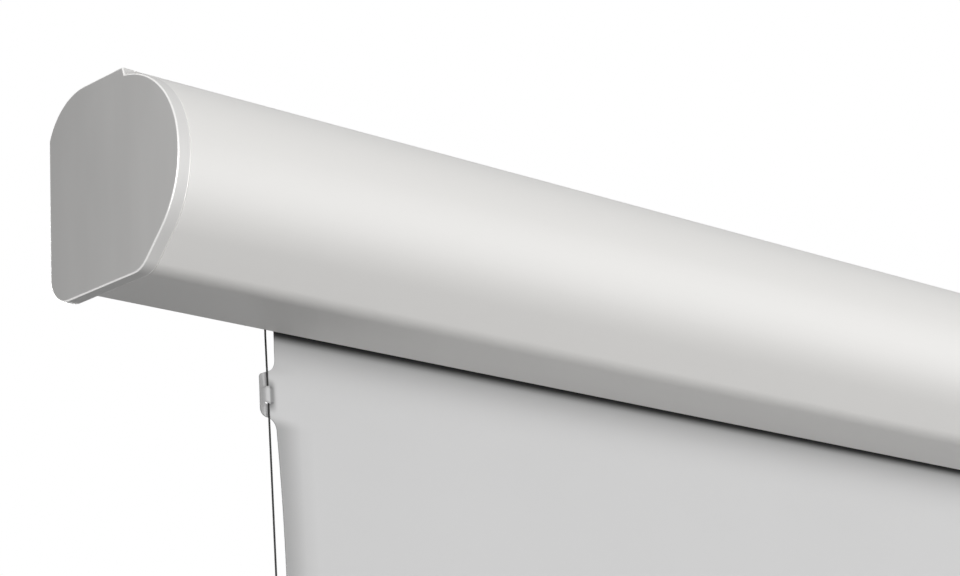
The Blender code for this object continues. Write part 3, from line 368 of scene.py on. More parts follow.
cap_plastic = Finish("cap_plastic")
grain = cap_plastic.noise(2600.0, detail=3.0, roughness=0.6)
cloud = cap_plastic.noise(14.0, stretch=(1.0, 2.2, 0.5))
depth_y = cap_plastic.add("ShaderNodeSeparateXYZ", [cap_plastic.where()], output="Y")
share = cap_plastic.add("ShaderNodeClamp", [depth_y * PAINTED_SHADE_SLOPE + cloud * 0.5])
edge = cap_plastic.add("ShaderNodeAttribute", output="Fac", attribute_name="edge")
# painted highlight: where edge is near 1 the rim is painted bright grey, glossier and metallic, so it
# mirrors the white world
painted_rim_highlight = cap_plastic.add("ShaderNodeClamp", [(edge - RIM_HIGHLIGHT_START) * RIM_HIGHLIGHT_GAIN])
skin_with_painted_shade = cap_plastic.mix(share, grey(0.54, COOL), grey(0.76, COOL))
cap_plastic.wear(
    colour=cap_plastic.mix(painted_rim_highlight, skin_with_painted_shade, grey(0.95, COOL)),
    roughness=0.38 + grain * 0.12 - painted_rim_highlight * 0.16, metallic=painted_rim_highlight * 0.85,
)
cap_plastic.relief(grain, depth=0.00003, strength=0.5)

# %% [markdown]
# ## Metals
#
# Two bare metals and an enamel are used. Zinc-plated steel is cloudy where the plating crystals catch
# the light, mill-finish aluminium is streaked along the direction it was drawn in, and the motor's
# tube has a grey enamel that is half metal.

# %% Steel, aluminium and enamel
ZINC, GUNMETAL = (1.0, 1.0, 1.02), (1.0, 1.02, 1.06)

steel = Finish("zinc_steel", Metallic=1.0)
plating = steel.add("ShaderNodeTexVoronoi", {"Vector": steel.where(), "Scale": 420.0})
breath = steel.noise(60.0, detail=4.0)
steel.wear(
    colour=steel.mix(plating * 0.5 + breath * 0.5, grey(0.50, ZINC), grey(0.68, ZINC)),
    roughness=0.26 + plating * 0.10 + breath * 0.14,
)
steel.relief(breath, depth=0.00003, strength=0.4)

aluminium = Finish("mill_aluminium", Metallic=1.0)
streaks = aluminium.noise(1.0, detail=5.0, roughness=0.75, stretch=(3.0, 1200.0, 1200.0))
aluminium.wear(
    colour=aluminium.mix(streaks, grey(0.60), grey(0.76)), roughness=0.30 + streaks * 0.20
)
aluminium.relief(streaks, depth=0.00003, strength=0.4)

enamel = Finish("motor_paint")
speckle = enamel.noise(500.0, detail=3.0)
enamel.wear(
    colour=enamel.mix(speckle, grey(0.26, GUNMETAL), grey(0.34, GUNMETAL)),
    roughness=0.34 + speckle * 0.15, metallic=0.5 + speckle * 0.2,
)
enamel.relief(speckle, depth=0.00004, strength=0.4)

# %% [markdown]
# ## Dark plastics, rubber and the circuit board
#
# The small hidden pieces still need to look moulded. Each gets its own grain, and the circuit board
# gets copper tracks: a brick pattern seen through the green mask.

# %% Plastics, rubber and board
def moulded(name, dark, light, grain_scale, roughness):
    """A moulded plastic: a fine grain, with a slow change of shade over it."""
    made = Finish(name)
    fine = made.noise(grain_scale, detail=3.0, roughness=0.6)
    slow = made.noise(30.0)
    made.wear(
        colour=made.mix(fine * 0.4 + slow * 0.6, grey(dark), grey(light)),
        roughness=roughness + fine * 0.15,
    )
    made.relief(fine, depth=0.00004, strength=0.5)
    return made


black_plastic = moulded("black_plastic", 0.028, 0.042, 1800.0, 0.38)
grey_plastic = moulded("grey_plastic", 0.38, 0.44, 1500.0, 0.42)
rubber = moulded("gland_rubber", 0.022, 0.034, 900.0, 0.60)

MASK_GREEN, COPPER = (0.012, 0.11, 0.045, 1.0), (0.10, 0.26, 0.10, 1.0)
board = Finish("board_green")
tracks = board.add("ShaderNodeTexBrick", {
    "Vector": board.where(), "Color1": grey(0.0), "Color2": grey(0.25),
    "Mortar": grey(1.0), "Scale": 90.0, "Mortar Size": 0.012,
})
board.wear(colour=board.mix(tracks, MASK_GREEN, COPPER), roughness=0.30 + tracks * 0.1)
board.relief(tracks, depth=0.00005, strength=0.5)

# %% [markdown]
# ## Screen fabric
#
# A projection surface is a soft vinyl, matte, and white with a touch of grey. Its grain is embossed
# and much finer than a weave. Shade is painted into its colour: a painted shadow on the part in the
# case's slot, and painted shade along the free sides and round the tabs. The mesh carries that as a
# value at each vertex, named shade: 1 is unshaded, and 0 is nearly black.

# %% Screen vinyl
vinyl = Finish("screen_vinyl")
emboss = vinyl.noise(1500.0, source="UV")
threads = vinyl.add("ShaderNodeTexWave", {
    "Vector": vinyl.where(source="UV"), "Scale": 260.0, "Distortion": 1.5, "Detail": 1.0,
}, wave_type="BANDS", bands_direction="X")
# painted shade: the shade value from the mesh mixes the vinyl towards nearly black
shade = vinyl.add("ShaderNodeAttribute", output="Fac", attribute_name="shade")
unshaded = vinyl.mix(vinyl.noise(5.0, source="UV"), grey(0.60), grey(0.63, (1.0, 0.998, 1.0)))
vinyl.wear(colour=vinyl.mix(shade, grey(0.03), unshaded), roughness=0.48 + emboss * 0.10)
vinyl.relief(emboss * 0.7 + threads * 0.3, depth=0.00003, strength=0.4)

# %% [markdown]
# ## Cord
#
# The tension cord is a braided black polyester line, 1.5 mm thick. Its strands cross at a slant, so
# two waves that lean opposite ways on the cord's own UV map give the braid: U runs round the cord
# and V along it.

# %% Black cord
AROUND, ALONG = 3.0, 420.0  # strands round the cord, and per metre of it

braid = Finish("cord_black", Specular_IOR_Level=0.4)
strands = [
    braid.add("ShaderNodeTexWave", {
        "Vector": braid.where((AROUND * lean, ALONG, 1.0), "UV"), "Scale": 1.0,
    }, wave_type="BANDS", bands_direction="DIAGONAL")
    for lean in (1.0, -1.0)
]
crossing = strands[0].maths("MAXIMUM", *strands)
braid.wear(colour=braid.mix(crossing, grey(0.006), grey(0.020)), roughness=0.50 + crossing * 0.15)
braid.relief(crossing, depth=0.0001, strength=0.6)

# %% [markdown]
# ## The section of the case
#
# The nose of the case is two arcs with a short upright stretch between them, and below them a flat
# chin at 45.5 degrees runs into a rounded corner. These centres and radii are all that is needed
# to draw the case, its inner wall and the caps.

# %% Section sizes
SECTION_HEIGHT = 0.1505
SECTION_DEPTH = 0.1454
NOSE_HEIGHT = 0.0745
NOSE_FACE = 0.0032
UPPER_NOSE_RADIUS = 0.0671
LOWER_NOSE_RADIUS = 0.075
CHIN_FACING = 45.5 - 90
LOWER_CORNER_RADIUS = 0.020
TOP_FRONT = 0.086
TOP_BACK = 0.042
SHOULDER_RADIUS = 0.045
UPPER_NOSE = (SECTION_DEPTH - UPPER_NOSE_RADIUS, NOSE_HEIGHT + NOSE_FACE)
LOWER_NOSE = (SECTION_DEPTH - LOWER_NOSE_RADIUS, NOSE_HEIGHT)
SHOULDER = (TOP_BACK, SECTION_HEIGHT - SHOULDER_RADIUS)
SHOULDER_SWEEP = 90 - math.degrees(math.acos(TOP_BACK / SHOULDER_RADIUS))

on_chin = on_circle(LOWER_NOSE, LOWER_NOSE_RADIUS, CHIN_FACING)
outward = on_circle((0, 0), 1, CHIN_FACING)
CORNER = (
    on_chin[0] - (LOWER_CORNER_RADIUS + outward[1] * (LOWER_CORNER_RADIUS - on_chin[1])) / outward[0],
    LOWER_CORNER_RADIUS,
)
rise = Vector((TOP_FRONT, SECTION_HEIGHT)) - Vector(UPPER_NOSE)
LEAVES_NOSE = math.degrees(
    math.atan2(rise.y, rise.x) - math.acos(UPPER_NOSE_RADIUS / rise.length)
)
print("the chin's corner is centred at", CORNER, "and the nose is left at", LEAVES_NOSE)

# %% [markdown]
# ## The case
#
# One extrusion, 2 mm thick, open below: the lip of the slot, the floor, chin and nose, then straight
# up to the peak, the flat top with its bracket rail, the shoulder and the back. The outline goes
# once round the outside and comes back along the inside, so the wall has its true thickness where
# the slot shows it. A Bevel modifier breaks every sharp edge, because a painted extrusion has none.

# %% Case extrusion
CASE_WALL, CASE_INSET, CASE_END = 0.002, 0.0006, 0.0113
SLOT_LIP, SLOT_LIP_HEIGHT = 0.0377, 0.008
REAR_EDGE, REAR_FLANGE = 0.0165, 0.0075
BACK_TOP = SHOULDER[1] + 0.014  # where the upright back meets the shoulder
RAIL_CENTRE, RAIL_MOUTH = 0.063, 0.0068
RAIL_WIDTH, RAIL_DEPTH, RAIL_LIP, RAIL_WALL = 0.0118, 0.0048, 0.002, 0.002


def draw_case(x):
    outer, inner = CASE_INSET, CASE_INSET + CASE_WALL
    top, under_top = SECTION_HEIGHT - outer, SECTION_HEIGHT - inner
    tangent = on_circle((0, 0), 1, LEAVES_NOSE)
    peak, inner_peak = (
        (TOP_FRONT - depth * (1 - tangent[1]) / tangent[0], SECTION_HEIGHT - depth)
        for depth in (outer, inner)
    )
    mouth, cavity = RAIL_MOUTH / 2, RAIL_WIDTH / 2
    wall = cavity + RAIL_WALL
    cavity_top = top - RAIL_LIP
    cavity_foot = cavity_top - RAIL_DEPTH
    wall_foot = cavity_foot - RAIL_WALL

    def rail(*corners):
        """Corners whose d is measured from the rail's centre."""
        return [(RAIL_CENTRE + d, h) for d, h in corners]

    pen = Section(x, (SLOT_LIP + outer, SLOT_LIP_HEIGHT))
    pen.line((SLOT_LIP + outer, outer), (CORNER[0], outer)).arc(CORNER, CHIN_FACING + 90)
    pen.line(on_circle(LOWER_NOSE, LOWER_NOSE_RADIUS - outer, CHIN_FACING))
    pen.arc(LOWER_NOSE, -CHIN_FACING, 2.0).line((SECTION_DEPTH - outer, UPPER_NOSE[1]))
    pen.arc(UPPER_NOSE, LEAVES_NOSE, 2.0).line(peak)
    pen.line(*rail(
        (mouth, top), (mouth, cavity_top), (cavity, cavity_top), (cavity, cavity_foot),
        (-cavity, cavity_foot), (-cavity, cavity_top), (-mouth, cavity_top), (-mouth, top),
    ))
    pen.line((TOP_BACK, top)).arc(SHOULDER, SHOULDER_SWEEP)
    pen.line(
        (outer, BACK_TOP), (outer, REAR_EDGE + outer), (REAR_FLANGE, REAR_EDGE + outer),
        (REAR_FLANGE, REAR_EDGE + inner), (inner, REAR_EDGE + inner), (inner, BACK_TOP),
        on_circle(SHOULDER, SHOULDER_RADIUS - inner, 90 + SHOULDER_SWEEP),
    ).arc(SHOULDER, -SHOULDER_SWEEP)
    pen.line(*rail(
        (-wall, under_top), (-wall, wall_foot), (wall, wall_foot), (wall, under_top)
    ))
    pen.line(inner_peak, on_circle(UPPER_NOSE, UPPER_NOSE_RADIUS - inner, LEAVES_NOSE))
    pen.arc(UPPER_NOSE, -LEAVES_NOSE, 2.0).line((SECTION_DEPTH - inner, NOSE_HEIGHT))
    pen.arc(LOWER_NOSE, CHIN_FACING, 2.0)
    pen.line(on_circle(CORNER, LOWER_CORNER_RADIUS - inner, CHIN_FACING))
    pen.arc(CORNER, -(CHIN_FACING + 90))
    return pen.line((SLOT_LIP + inner, inner), (SLOT_LIP + inner, SLOT_LIP_HEIGHT)).close()


case = draw_case(place_x(-1, CASE_END))
case.pull(place_x(1, CASE_END))
file_piece("case", case.mesh, paint, "housing", ["case_extrusion"], bevel=0.0004)

# %% [markdown]
# ## The end caps
#
# Each cap is a shallow moulding, 11 mm deep, that covers the case's end and stands 0.6 mm proud of
# it all round. Its outline follows the case but keeps the nose as a full arc, so that a small notch
# is left where the arc stops short of the peak. The rim is rounded by 1.1 mm, and the vertices on
# both of its edges are marked with the value edge: the material paints a highlight there, the thin
# bright line round the cap.

# %% End caps
CAP_THICKNESS, CAP_FACE, CAP_RIM = 0.011, 0.003, 0.0025
CAP_ROUNDING, CAP_MARGIN = 0.0011, 0.0021
NOTCH_WIDTH = 0.002


def draw_cap(x):
    notch = math.degrees(math.acos((TOP_FRONT + NOTCH_WIDTH - UPPER_NOSE[0]) / UPPER_NOSE_RADIUS))
    pen = Section(x, on_circle(CORNER, LOWER_CORNER_RADIUS, -90))
    pen.arc(CORNER, CHIN_FACING + 90)
    pen.line(on_circle(LOWER_NOSE, LOWER_NOSE_RADIUS, CHIN_FACING))
    pen.arc(LOWER_NOSE, -CHIN_FACING, 2.0).line((SECTION_DEPTH, UPPER_NOSE[1]))
    pen.arc(UPPER_NOSE, notch, 2.0)
    pen.line((TOP_FRONT, SECTION_HEIGHT), (TOP_BACK, SECTION_HEIGHT))
    pen.arc(SHOULDER, SHOULDER_SWEEP).line((0, LOWER_CORNER_RADIUS))
    return pen.arc((LOWER_CORNER_RADIUS, LOWER_CORNER_RADIUS), 90).close()


def make_cap(end, side):
    outermost = place_x(side, 0)
    pen = draw_cap(outermost)
    stops = [CAP_MARGIN, CAP_THICKNESS - CAP_MARGIN, CAP_THICKNESS]
    inner = pen.pull(*[place_x(side, stop) for stop in stops])
    shape = pen.mesh
    bmesh.ops.recalc_face_normals(shape, faces=shape.faces)
    front = next(f for f in shape.faces if abs(f.calc_center_median().x - outermost) < SAME)
    # edge marks the two rim lines that the material paints as a highlight
    edge = shape.verts.layers.float.new("edge")
    for vertex in shape.verts:
        depth = abs(vertex.co.x - outermost)
        vertex[edge] = float(min(depth, CAP_THICKNESS - depth) < SAME)
    bmesh.ops.inset_region(shape, faces=[front], thickness=CAP_MARGIN, use_even_offset=True)
    for vertex in front.verts:
        vertex[edge] = 0.0
    bmesh.ops.inset_region(shape, faces=[inner], thickness=CAP_RIM, use_even_offset=True)
    hollow = bmesh.ops.extrude_face_region(shape, geom=[inner])
    bmesh.ops.delete(shape, geom=[inner], context="FACES_ONLY")
    bmesh.ops.translate(
        shape, verts=only(BMVert, hollow["geom"]), vec=(side * (CAP_THICKNESS - CAP_FACE), 0, 0)
    )
    cap = file_piece(
        f"cap_{end}", shape, cap_plastic, "housing", [f"end_cap_{end}"], bevel=CAP_ROUNDING
    )
    cap.modifiers[0].segments = 3


def at_both_ends(*makers):
    """Makes pieces at the left end, then at the right."""
    for end, side in SIDES.items():
        for make in makers:
            make(end, side)


at_both_ends(make_cap)

# %% [markdown]
# ## The screen fabric
#
# The fabric hangs from the back of the roller. Its sides are scalloped: each tab reaches out to the
# cord, and between two tabs the side is cut in a shallow curve. Real tabs are not sewn on. The vinyl
# itself is slit twice, and the band between the slits is lifted over the cord, so the cord passes in
# front of the tab, then under the band, then in front again.
#
# The sheet is a grid: its side is drawn first, row by row, then extruded inwards column by column,
# and mirrored. Rows crowd together at the tabs, where the outline turns.

# %% Sizes of the fabric
ROLLER = (0.064, 0.084)
FABRIC_D, FABRIC_THICKNESS, FABRIC_EDGE = 0.026, 0.0006, 0.1775
DROP, FABRIC_FOOT, HEM_EDGE = 1.560, -1.5675, 0.1761
CORD_RADIUS, CORD_EDGE, CORD_BOW = 0.00075, 0.1680, 0.0068
FIRST_TAB, TAB_PITCH, TAB_COUNT = -0.0437, 0.245, 7
TAB_HEIGHT, TAB_REACH, TAB_NECK = 0.0325, 0.0067, 0.0082
TAB_FILLET, TAB_UPPER_CORNER, TAB_LOWER_CORNER = 0.0090, 0.0035, 0.0065
TAB_TOP_RISE = 0.0018
TOP_SLOPE, FOOT_SLOPE = 16, 4  # how many degrees a tab's top and foot are off level
CORNER_STEPS = 7
SLIT = 0.0066  # from the tab's centre to a slit, at the cord
BAND_ROWS = [0.0112, 0.0098, 0.0085, 0.0075, SLIT, 0.0044, 0.0022, 0.0, -0.0022, -0.0044, -SLIT,
             -0.0075, -0.0085, -0.0094]
CORD_D = FABRIC_D + FABRIC_THICKNESS / 2 + CLEARANCE + CORD_RADIUS


def cord_u(h):
    """How far in the cord runs at a height: the tabs bow it inwards."""
    share = min(max(-h / DROP, 0.0), 1.0)
    return CORD_EDGE + 4 * CORD_BOW * share * (1 - share)


def tab_rows(centre):
    """The outline of one tab from top to bottom, as (u, h)."""
    cord = cord_u(centre)
    neck, outer = cord + TAB_NECK, cord - TAB_REACH
    top, foot = centre + TAB_HEIGHT / 2, centre - TAB_HEIGHT / 2
    corners = [
        (neck - TAB_FILLET, top + TAB_FILLET + TAB_TOP_RISE, TAB_FILLET, 0, TOP_SLOPE - 90),
        (outer + TAB_UPPER_CORNER, top - TAB_UPPER_CORNER, TAB_UPPER_CORNER, 90 + TOP_SLOPE, 180),
        (outer + TAB_LOWER_CORNER, foot + TAB_LOWER_CORNER, TAB_LOWER_CORNER, 180, 270 - FOOT_SLOPE),
        (neck - TAB_FILLET, foot - TAB_FILLET, TAB_FILLET, 90 - FOOT_SLOPE, 0),
    ]
    runs = [
        [on_circle((u, h), radius, start + (end - start) * n / CORNER_STEPS)
         for n in range(CORNER_STEPS + 1)]
        for u, h, radius, start, end in corners
    ]
    straight = [(outer, centre + offset) for offset in BAND_ROWS]
    return runs[0] + runs[1] + straight + runs[2] + runs[3]


print("a tab has", len(tab_rows(FIRST_TAB)), "rows")

# %% The rows of the side
SCALLOP, SCALLOP_ROWS = 0.0025, 14
FIRST_ROWS = [0.060, 0.036, 0.020, 0.011, 0.0066, 0.0048, 0.0030, 0.0012, -0.0006, -0.0024, -0.0042,
              -0.0070, -0.0110]
TABS = [FIRST_TAB - TAB_PITCH * n for n in range(TAB_COUNT)]


def fabric_rows():
    """The left side as (u, h, height above the nearest tab's centre)."""
    rows = [(FABRIC_EDGE, ROLLER[1], 1.0)]
    first = tab_rows(FIRST_TAB)[0]
    for h in FIRST_ROWS:
        share = (h - ROLLER[1]) / (first[1] - ROLLER[1])
        rows.append((FABRIC_EDGE + (first[0] - FABRIC_EDGE) * share, h, h - FIRST_TAB))
    for centre, below in zip(TABS, [*TABS[1:], -math.inf]):
        tab = tab_rows(centre)
        rows += [(u, h, h - centre) for u, h in tab]
        start, target = tab[-1], (HEM_EDGE, -DROP) if centre == TABS[-1] else tab_rows(below)[0]
        for k in range(1, SCALLOP_ROWS):
            share = k / SCALLOP_ROWS
            u = start[0] + (target[0] - start[0]) * share + SCALLOP * 4 * share * (1 - share)
            h = start[1] + (target[1] - start[1]) * share
            rows.append((u, h, h - centre if h - centre > below - h else h - below))
    return rows + [(HEM_EDGE, -DROP, -1.0), (HEM_EDGE, FABRIC_FOOT, -1.0)]


rows = fabric_rows()
print("the fabric's side has", len(rows), "rows")

# %% The sheet, column by column
ACROSS = [-TAB_REACH, -0.0058, -0.0048, -0.0036, -0.0024, -0.0012, 0.0, 0.0012, 0.0024, 0.0036,
          0.0048, 0.0062, 0.0080, 0.0100, 0.0125, 0.0160]
INWARD = [0.022, 0.030, 0.042, 0.060, 0.090, 0.150, 0.250, 0.400, 0.650]


def column_u(row, column):
    """u of a column on a row: the first 16 crowd between the side and 16 mm inside the cord."""
    u, h, _ = row
    cord = cord_u(h)
    if column < len(ACROSS):
        share = (ACROSS[column] - ACROSS[0]) / (ACROSS[-1] - ACROSS[0])
        return u + (cord + ACROSS[-1] - u) * share
    if column < len(ACROSS) + len(INWARD):
        return cord + INWARD[column - len(ACROSS)]
    return HALF_LENGTH


def drawn_through(spots):
    """A bmesh with one line through points in space."""
    shape = bmesh.new()
    tip = shape.verts.new(spots[0])
    for spot in spots[1:]:
        tip = bmesh.ops.extrude_vert_indiv(shape, verts=[tip])["verts"][0]
        tip.co = spot
    return shape


def draw_out(shape, edges, way=(0, 0, 0)):
    """Extrudes edges some way; returns the new edges and vertices."""
    made = bmesh.ops.extrude_edge_only(shape, edges=edges)["geom"]
    moved = only(BMVert, made)
    bmesh.ops.translate(shape, verts=moved, vec=way)
    return only(BMEdge, made), moved


def lay_sheet():
    """The left half of the fabric, flat, with what each vertex needs to know about its tab."""
    shape = drawn_through([place(place_x(-1, u), FABRIC_D, h) for u, h, _ in rows])
    from_cord, from_tab, from_side = layers = [
        shape.verts.layers.float.new(name) for name in ("from_cord", "from_tab", "from_side")
    ]
    last, edges = shape.verts[:], shape.edges[:]
    for column in range(len(ACROSS) + len(INWARD) + 1):
        if column:
            edges, moved = draw_out(shape, edges)
            fresh = set(moved)
            last = [
                next(e.other_vert(v) for e in v.link_edges if e.other_vert(v) in fresh)
                for v in last
            ]
        for vertex, row in zip(last, rows):
            u = column_u(row, column)
            vertex.co.x = place_x(-1, u)
            vertex[from_cord] = u - cord_u(row[1])
            vertex[from_tab] = row[2]
            vertex[from_side] = u - row[0]
    return shape, layers


def smooth(value, low, high):
    """A soft step from 0 to 1 between two values."""
    share = min(max((value - low) / (high - low), 0.0), 1.0)
    return share * share * (3 - 2 * share)


sheet, (from_cord, from_tab, from_side) = lay_sheet()
print("half of the sheet has", len(sheet.faces), "faces")

# %% [markdown]
# The two slits of each tab are opened by splitting the row of edges there, and the band between
# them is lifted over the cord. The lift falls off gently on its inner side, where the vinyl is
# drawn up with it, and a little of it spreads above and below the slits. The same distances from
# cord, tab and side give each vertex its painted shade.

# %% Slits and map
SLIT_REACH = 0.0048
slits = [
    edge for edge in sheet.edges
    if all(abs(abs(v[from_tab]) - SLIT) < SAME for v in edge.verts)
    and all(abs(v[from_cord]) < SLIT_REACH + SAME for v in edge.verts)
    and abs(edge.verts[0][from_tab] - edge.verts[1][from_tab]) < SAME
]
bmesh.ops.split_edges(sheet, edges=slits)
print("slits opened along", len(slits), "edges")

flat_area = 2 * sum(face.calc_area() for face in sheet.faces)
uv_map = sheet.loops.layers.uv.new("UVMap")
for face in sheet.faces:
    for loop in face.loops:
        loop[uv_map].uv = (loop.vert.co.x, loop.vert.co.z)

# %% Bands, creases and painted shade
BAND_LIFT, BAND_SPREAD = 0.0026, 0.0070
# where each change starts and ends, measured outwards or inwards from the cord
OUTER_BAND, INNER_BAND, BESIDE_CORD = (0.0022, 0.0064), (0.0003, 0.0085), (0.0022, SLIT_REACH)
CREASE_STARTS, CREASE_ENDS, FLANK_ENDS = (-0.0002, 0.0013), (0.0035, 0.0095), (-0.0044, -0.0024)
# where each change starts and ends, measured from the tab's centre, the side or the slot
TAB_ENDS, SIDE_STRIP = (0.012, 0.024), (0.0, 0.028)
BELOW_SLOT, IN_SLOT = (0.012, 0.050), (-0.0045, 0.0040)
# painted shade: how much darker the crease beside the band, the flank outside the cord and the strip
# along each side are painted
CREASE_PAINTED_SHADE, FLANK_PAINTED_SHADE, SIDE_PAINTED_SHADE = 0.58, 0.40, 0.42
# a slit slants towards the tab's middle on both sides of the cord
SLANT, SLANT_HEIGHT, SLANT_ENDS = 0.34, 0.0026, (SLIT_REACH, 0.0095)

shade_layer = sheet.verts.layers.float.new("shade")
for vertex in sheet.verts:
    across, along, h = vertex[from_cord], vertex[from_tab], vertex.co.z - UNDERSIDE_Z
    around = [sum(v[from_tab] for v in face.verts) / 4 for face in vertex.link_faces]
    in_band = abs(sum(around) / len(around)) < SLIT
    spread = 1.0 if in_band else 1 - smooth(abs(along) - SLIT, 0.0, BAND_SPREAD)
    crest = 1 - (smooth(-across, *OUTER_BAND) if across < 0 else smooth(across, *INNER_BAND))
    under_cord = 1.0 if in_band else smooth(abs(across), *BESIDE_CORD)
    vertex.co.y -= BAND_LIFT * crest * spread * under_cord
    slant = SLANT * across * math.exp(-((abs(along) - SLIT) / SLANT_HEIGHT) ** 2)
    vertex.co.z -= math.copysign(slant * (1 - smooth(abs(across), *SLANT_ENDS)), along)
    # painted shade in the crease beside the band, on the flank outside the cord and along the side
    crease = smooth(across, *CREASE_STARTS) * (1 - smooth(across, *CREASE_ENDS)) * spread
    near = 1 - smooth(abs(along), *TAB_ENDS)
    flank = (1 - smooth(across, *FLANK_ENDS)) * near
    side = (1 - smooth(vertex[from_side], *SIDE_STRIP)) * smooth(-h, *BELOW_SLOT) * (1 - near)
    unshaded_share = 1 - CREASE_PAINTED_SHADE * crease - FLANK_PAINTED_SHADE * flank - SIDE_PAINTED_SHADE * side
    # painted shadow: the part of the fabric up in the case's slot is painted nearly black
    vertex[shade_layer] = unshaded_share * smooth(-h, *IN_SLOT)

# %% The whole fabric
def thicken(piece, thickness):
    """Gives a sheet its thickness, half of it to each side."""
    wall = piece.modifiers.new("thickness", "SOLIDIFY")
    wall.thickness, wall.offset = thickness, 0.0


bmesh.ops.mirror(
    sheet, geom=sheet.verts[:] + sheet.edges[:] + sheet.faces[:], axis="X", merge_dist=SAME
)
fabric = file_piece("fabric", sheet, vinyl, "housing", ["screen_fabric"])
thicken(fabric, FABRIC_THICKNESS)
print("flat area of the fabric:", round(flat_area, 4))

# %% [markdown]
# When the screen is lifted, the real fabric winds up on the roller. A mesh can't wind and unwind with
# a pose. Here the sheet and the two cords only get a mesh of their own.


def follow_lift(piece):
    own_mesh(piece)


follow_lift(fabric)

# %% [markdown]
# ## The tension cords
#
# Each cord is a tube: a small circle at the roller, extruded from height to height down to the
# weight bar, where it goes into the end block. Its UV map goes round it and along it, because the
# braid does. The cord is held by the tabs all the way, so it is not a free cord.

# %% Tension cords
KNOB_H = -1.581
CORD_SIDES, CORD_STEP = 10, 0.02


def make_cord(end, side):
    stops = [
        place(place_x(side, cord_u(h)), CORD_D, h) for h in (ROLLER[1], 0.0, *TABS, -DROP, KNOB_H)
    ]
    spots = []
    for above, below in zip(stops, stops[1:]):
        count = max(1, round((above - below).length / CORD_STEP))
        spots += [above.lerp(below, k / count) for k in range(count)]
    spots.append(stops[-1])
    shape = bmesh.new()
    uv = shape.loops.layers.uv.new("UVMap")
    bmesh.ops.create_circle(
        shape, cap_ends=False, radius=CORD_RADIUS, segments=CORD_SIDES,
        matrix=Matrix.Translation(spots[0]),
    )
    ring = shape.edges[:]
    for spot, ahead in zip(spots, spots[1:]):
        ring, _ = draw_out(shape, ring, ahead - spot)

    def angle_round(point):
        """The angle round the cord at a point, as a share of a whole turn."""
        core = min(spots, key=lambda spot: abs(spot.z - point.z))
        return math.atan2(point.y - core.y, point.x - core.x) / math.tau

    for face in shape.faces:
        around = angle_round(face.calc_center_median())
        for loop in face.loops:
            turn = angle_round(loop.vert.co)
            loop[uv].uv = (turn + round(around - turn), loop.vert.co.z)
    cord = file_piece(f"cord_{end}", shape, braid, "housing", [f"tension_cord_{end}"])
    follow_lift(cord)


at_both_ends(make_cord)

# %% [markdown]
# ## The fabric on the roller
#
# Seven turns are still wound on the roller when the screen is down. The roll is one sheet in a
# spiral: its section is drawn turn by turn with a radius that shrinks a little at each step, pulled
# out along the roller, and given the fabric's thickness. It starts where the hanging sheet ends.

# %% Fabric roll
SPIRAL_TURNS, SPIRAL_STEPS, SPIRAL_INNER = 7, 40, 0.0337
ROLL_THICKNESS = 0.95 * FABRIC_THICKNESS  # so that the turns don't touch


def make_roll():
    outer, count = ROLLER[0] - FABRIC_D, SPIRAL_TURNS * SPIRAL_STEPS
    shape = drawn_through([
        place(place_x(-1, FABRIC_EDGE), *on_circle(
            ROLLER, outer + (SPIRAL_INNER - outer) * n / count, 180 - 360 * n / SPIRAL_STEPS
        )) for n in range(count + 1)
    ])
    uv = shape.loops.layers.uv.new("UVMap")
    width = 2 * (HALF_LENGTH - FABRIC_EDGE)
    draw_out(shape, shape.edges[:], (width, 0, 0))
    step_length = math.tau * (outer + SPIRAL_INNER) / 2 / SPIRAL_STEPS
    for n, face in enumerate(shape.faces):
        top = max(loop.vert.co.z for loop in face.loops)
        for loop in face.loops:
            loop[uv].uv = (loop.vert.co.x, (n + (loop.vert.co.z < top - SAME / 100)) * step_length)
    roll = file_piece("fabric_wound", shape, vinyl, "roller", ["fabric_roll"])
    for unshaded in roll.data.attributes.new("shade", "FLOAT", "POINT").data:
        unshaded.value = 1.0
    thicken(roll, ROLL_THICKNESS)
    length = step_length * count
    print("length wound on the roller:", round(length, 3), "m")
    round(width * length, 3) * 0.999


make_roll()

# %% [markdown]
# ## Joining and cutting shapes
#
# A hole across a wall is quickest to cut with a Boolean modifier. The helper lends both shapes an
# object for a moment, lets the modifier work with its exact solver, and takes the result back into
# a bmesh, so that no cutter stays in the scene.

# %% Boolean helper
def joined(shape, other, operation="DIFFERENCE"):
    """Cuts one closed bmesh with another, or unites them."""
    lent = []
    for part in (shape, other):
        bmesh.ops.recalc_face_normals(part, faces=part.faces)
        lent.append(show_shape("lent", part))
    boolean = lent[0].modifiers.new("join", "BOOLEAN")
    boolean.operation, boolean.solver, boolean.object = operation, "EXACT", lent[1]
    result = bmesh.new()
    graph = bpy.context.evaluated_depsgraph_get()
    result.from_mesh(lent[0].evaluated_get(graph).to_mesh())
    for mesh in [obj.data for obj in lent]:
        bpy.data.meshes.remove(mesh)
    bmesh.ops.remove_doubles(result, verts=result.verts, dist=SAME / 10)
    return result


TURNS = {
    "X": Matrix.Rotation(math.pi / 2, 4, "Y"), "Y": Matrix.Rotation(math.pi / 2, 4, "X"),
    "Z": Matrix.Identity(4),
}


def round_bar(middle, radius, length, axis, sides=32):
    """A cylinder about an axis, X, Y or Z."""
    shape = bmesh.new()
    bmesh.ops.create_cone(
        shape, cap_ends=True, segments=sides, radius1=radius, radius2=radius, depth=length,
        matrix=Matrix.Translation(middle) @ TURNS[axis],
    )
    return shape


# %% [markdown]
# ## The weight bar
#
# The bar at the foot pulls the fabric straight. It is a painted extrusion with a keyhole slot in its
# top, where a rod in the fabric's hem slides in from the end, and a hollow chamber below it. The
# keyhole belongs to the outline; the chamber is cut afterwards, because a filled face can't have
# a hole.

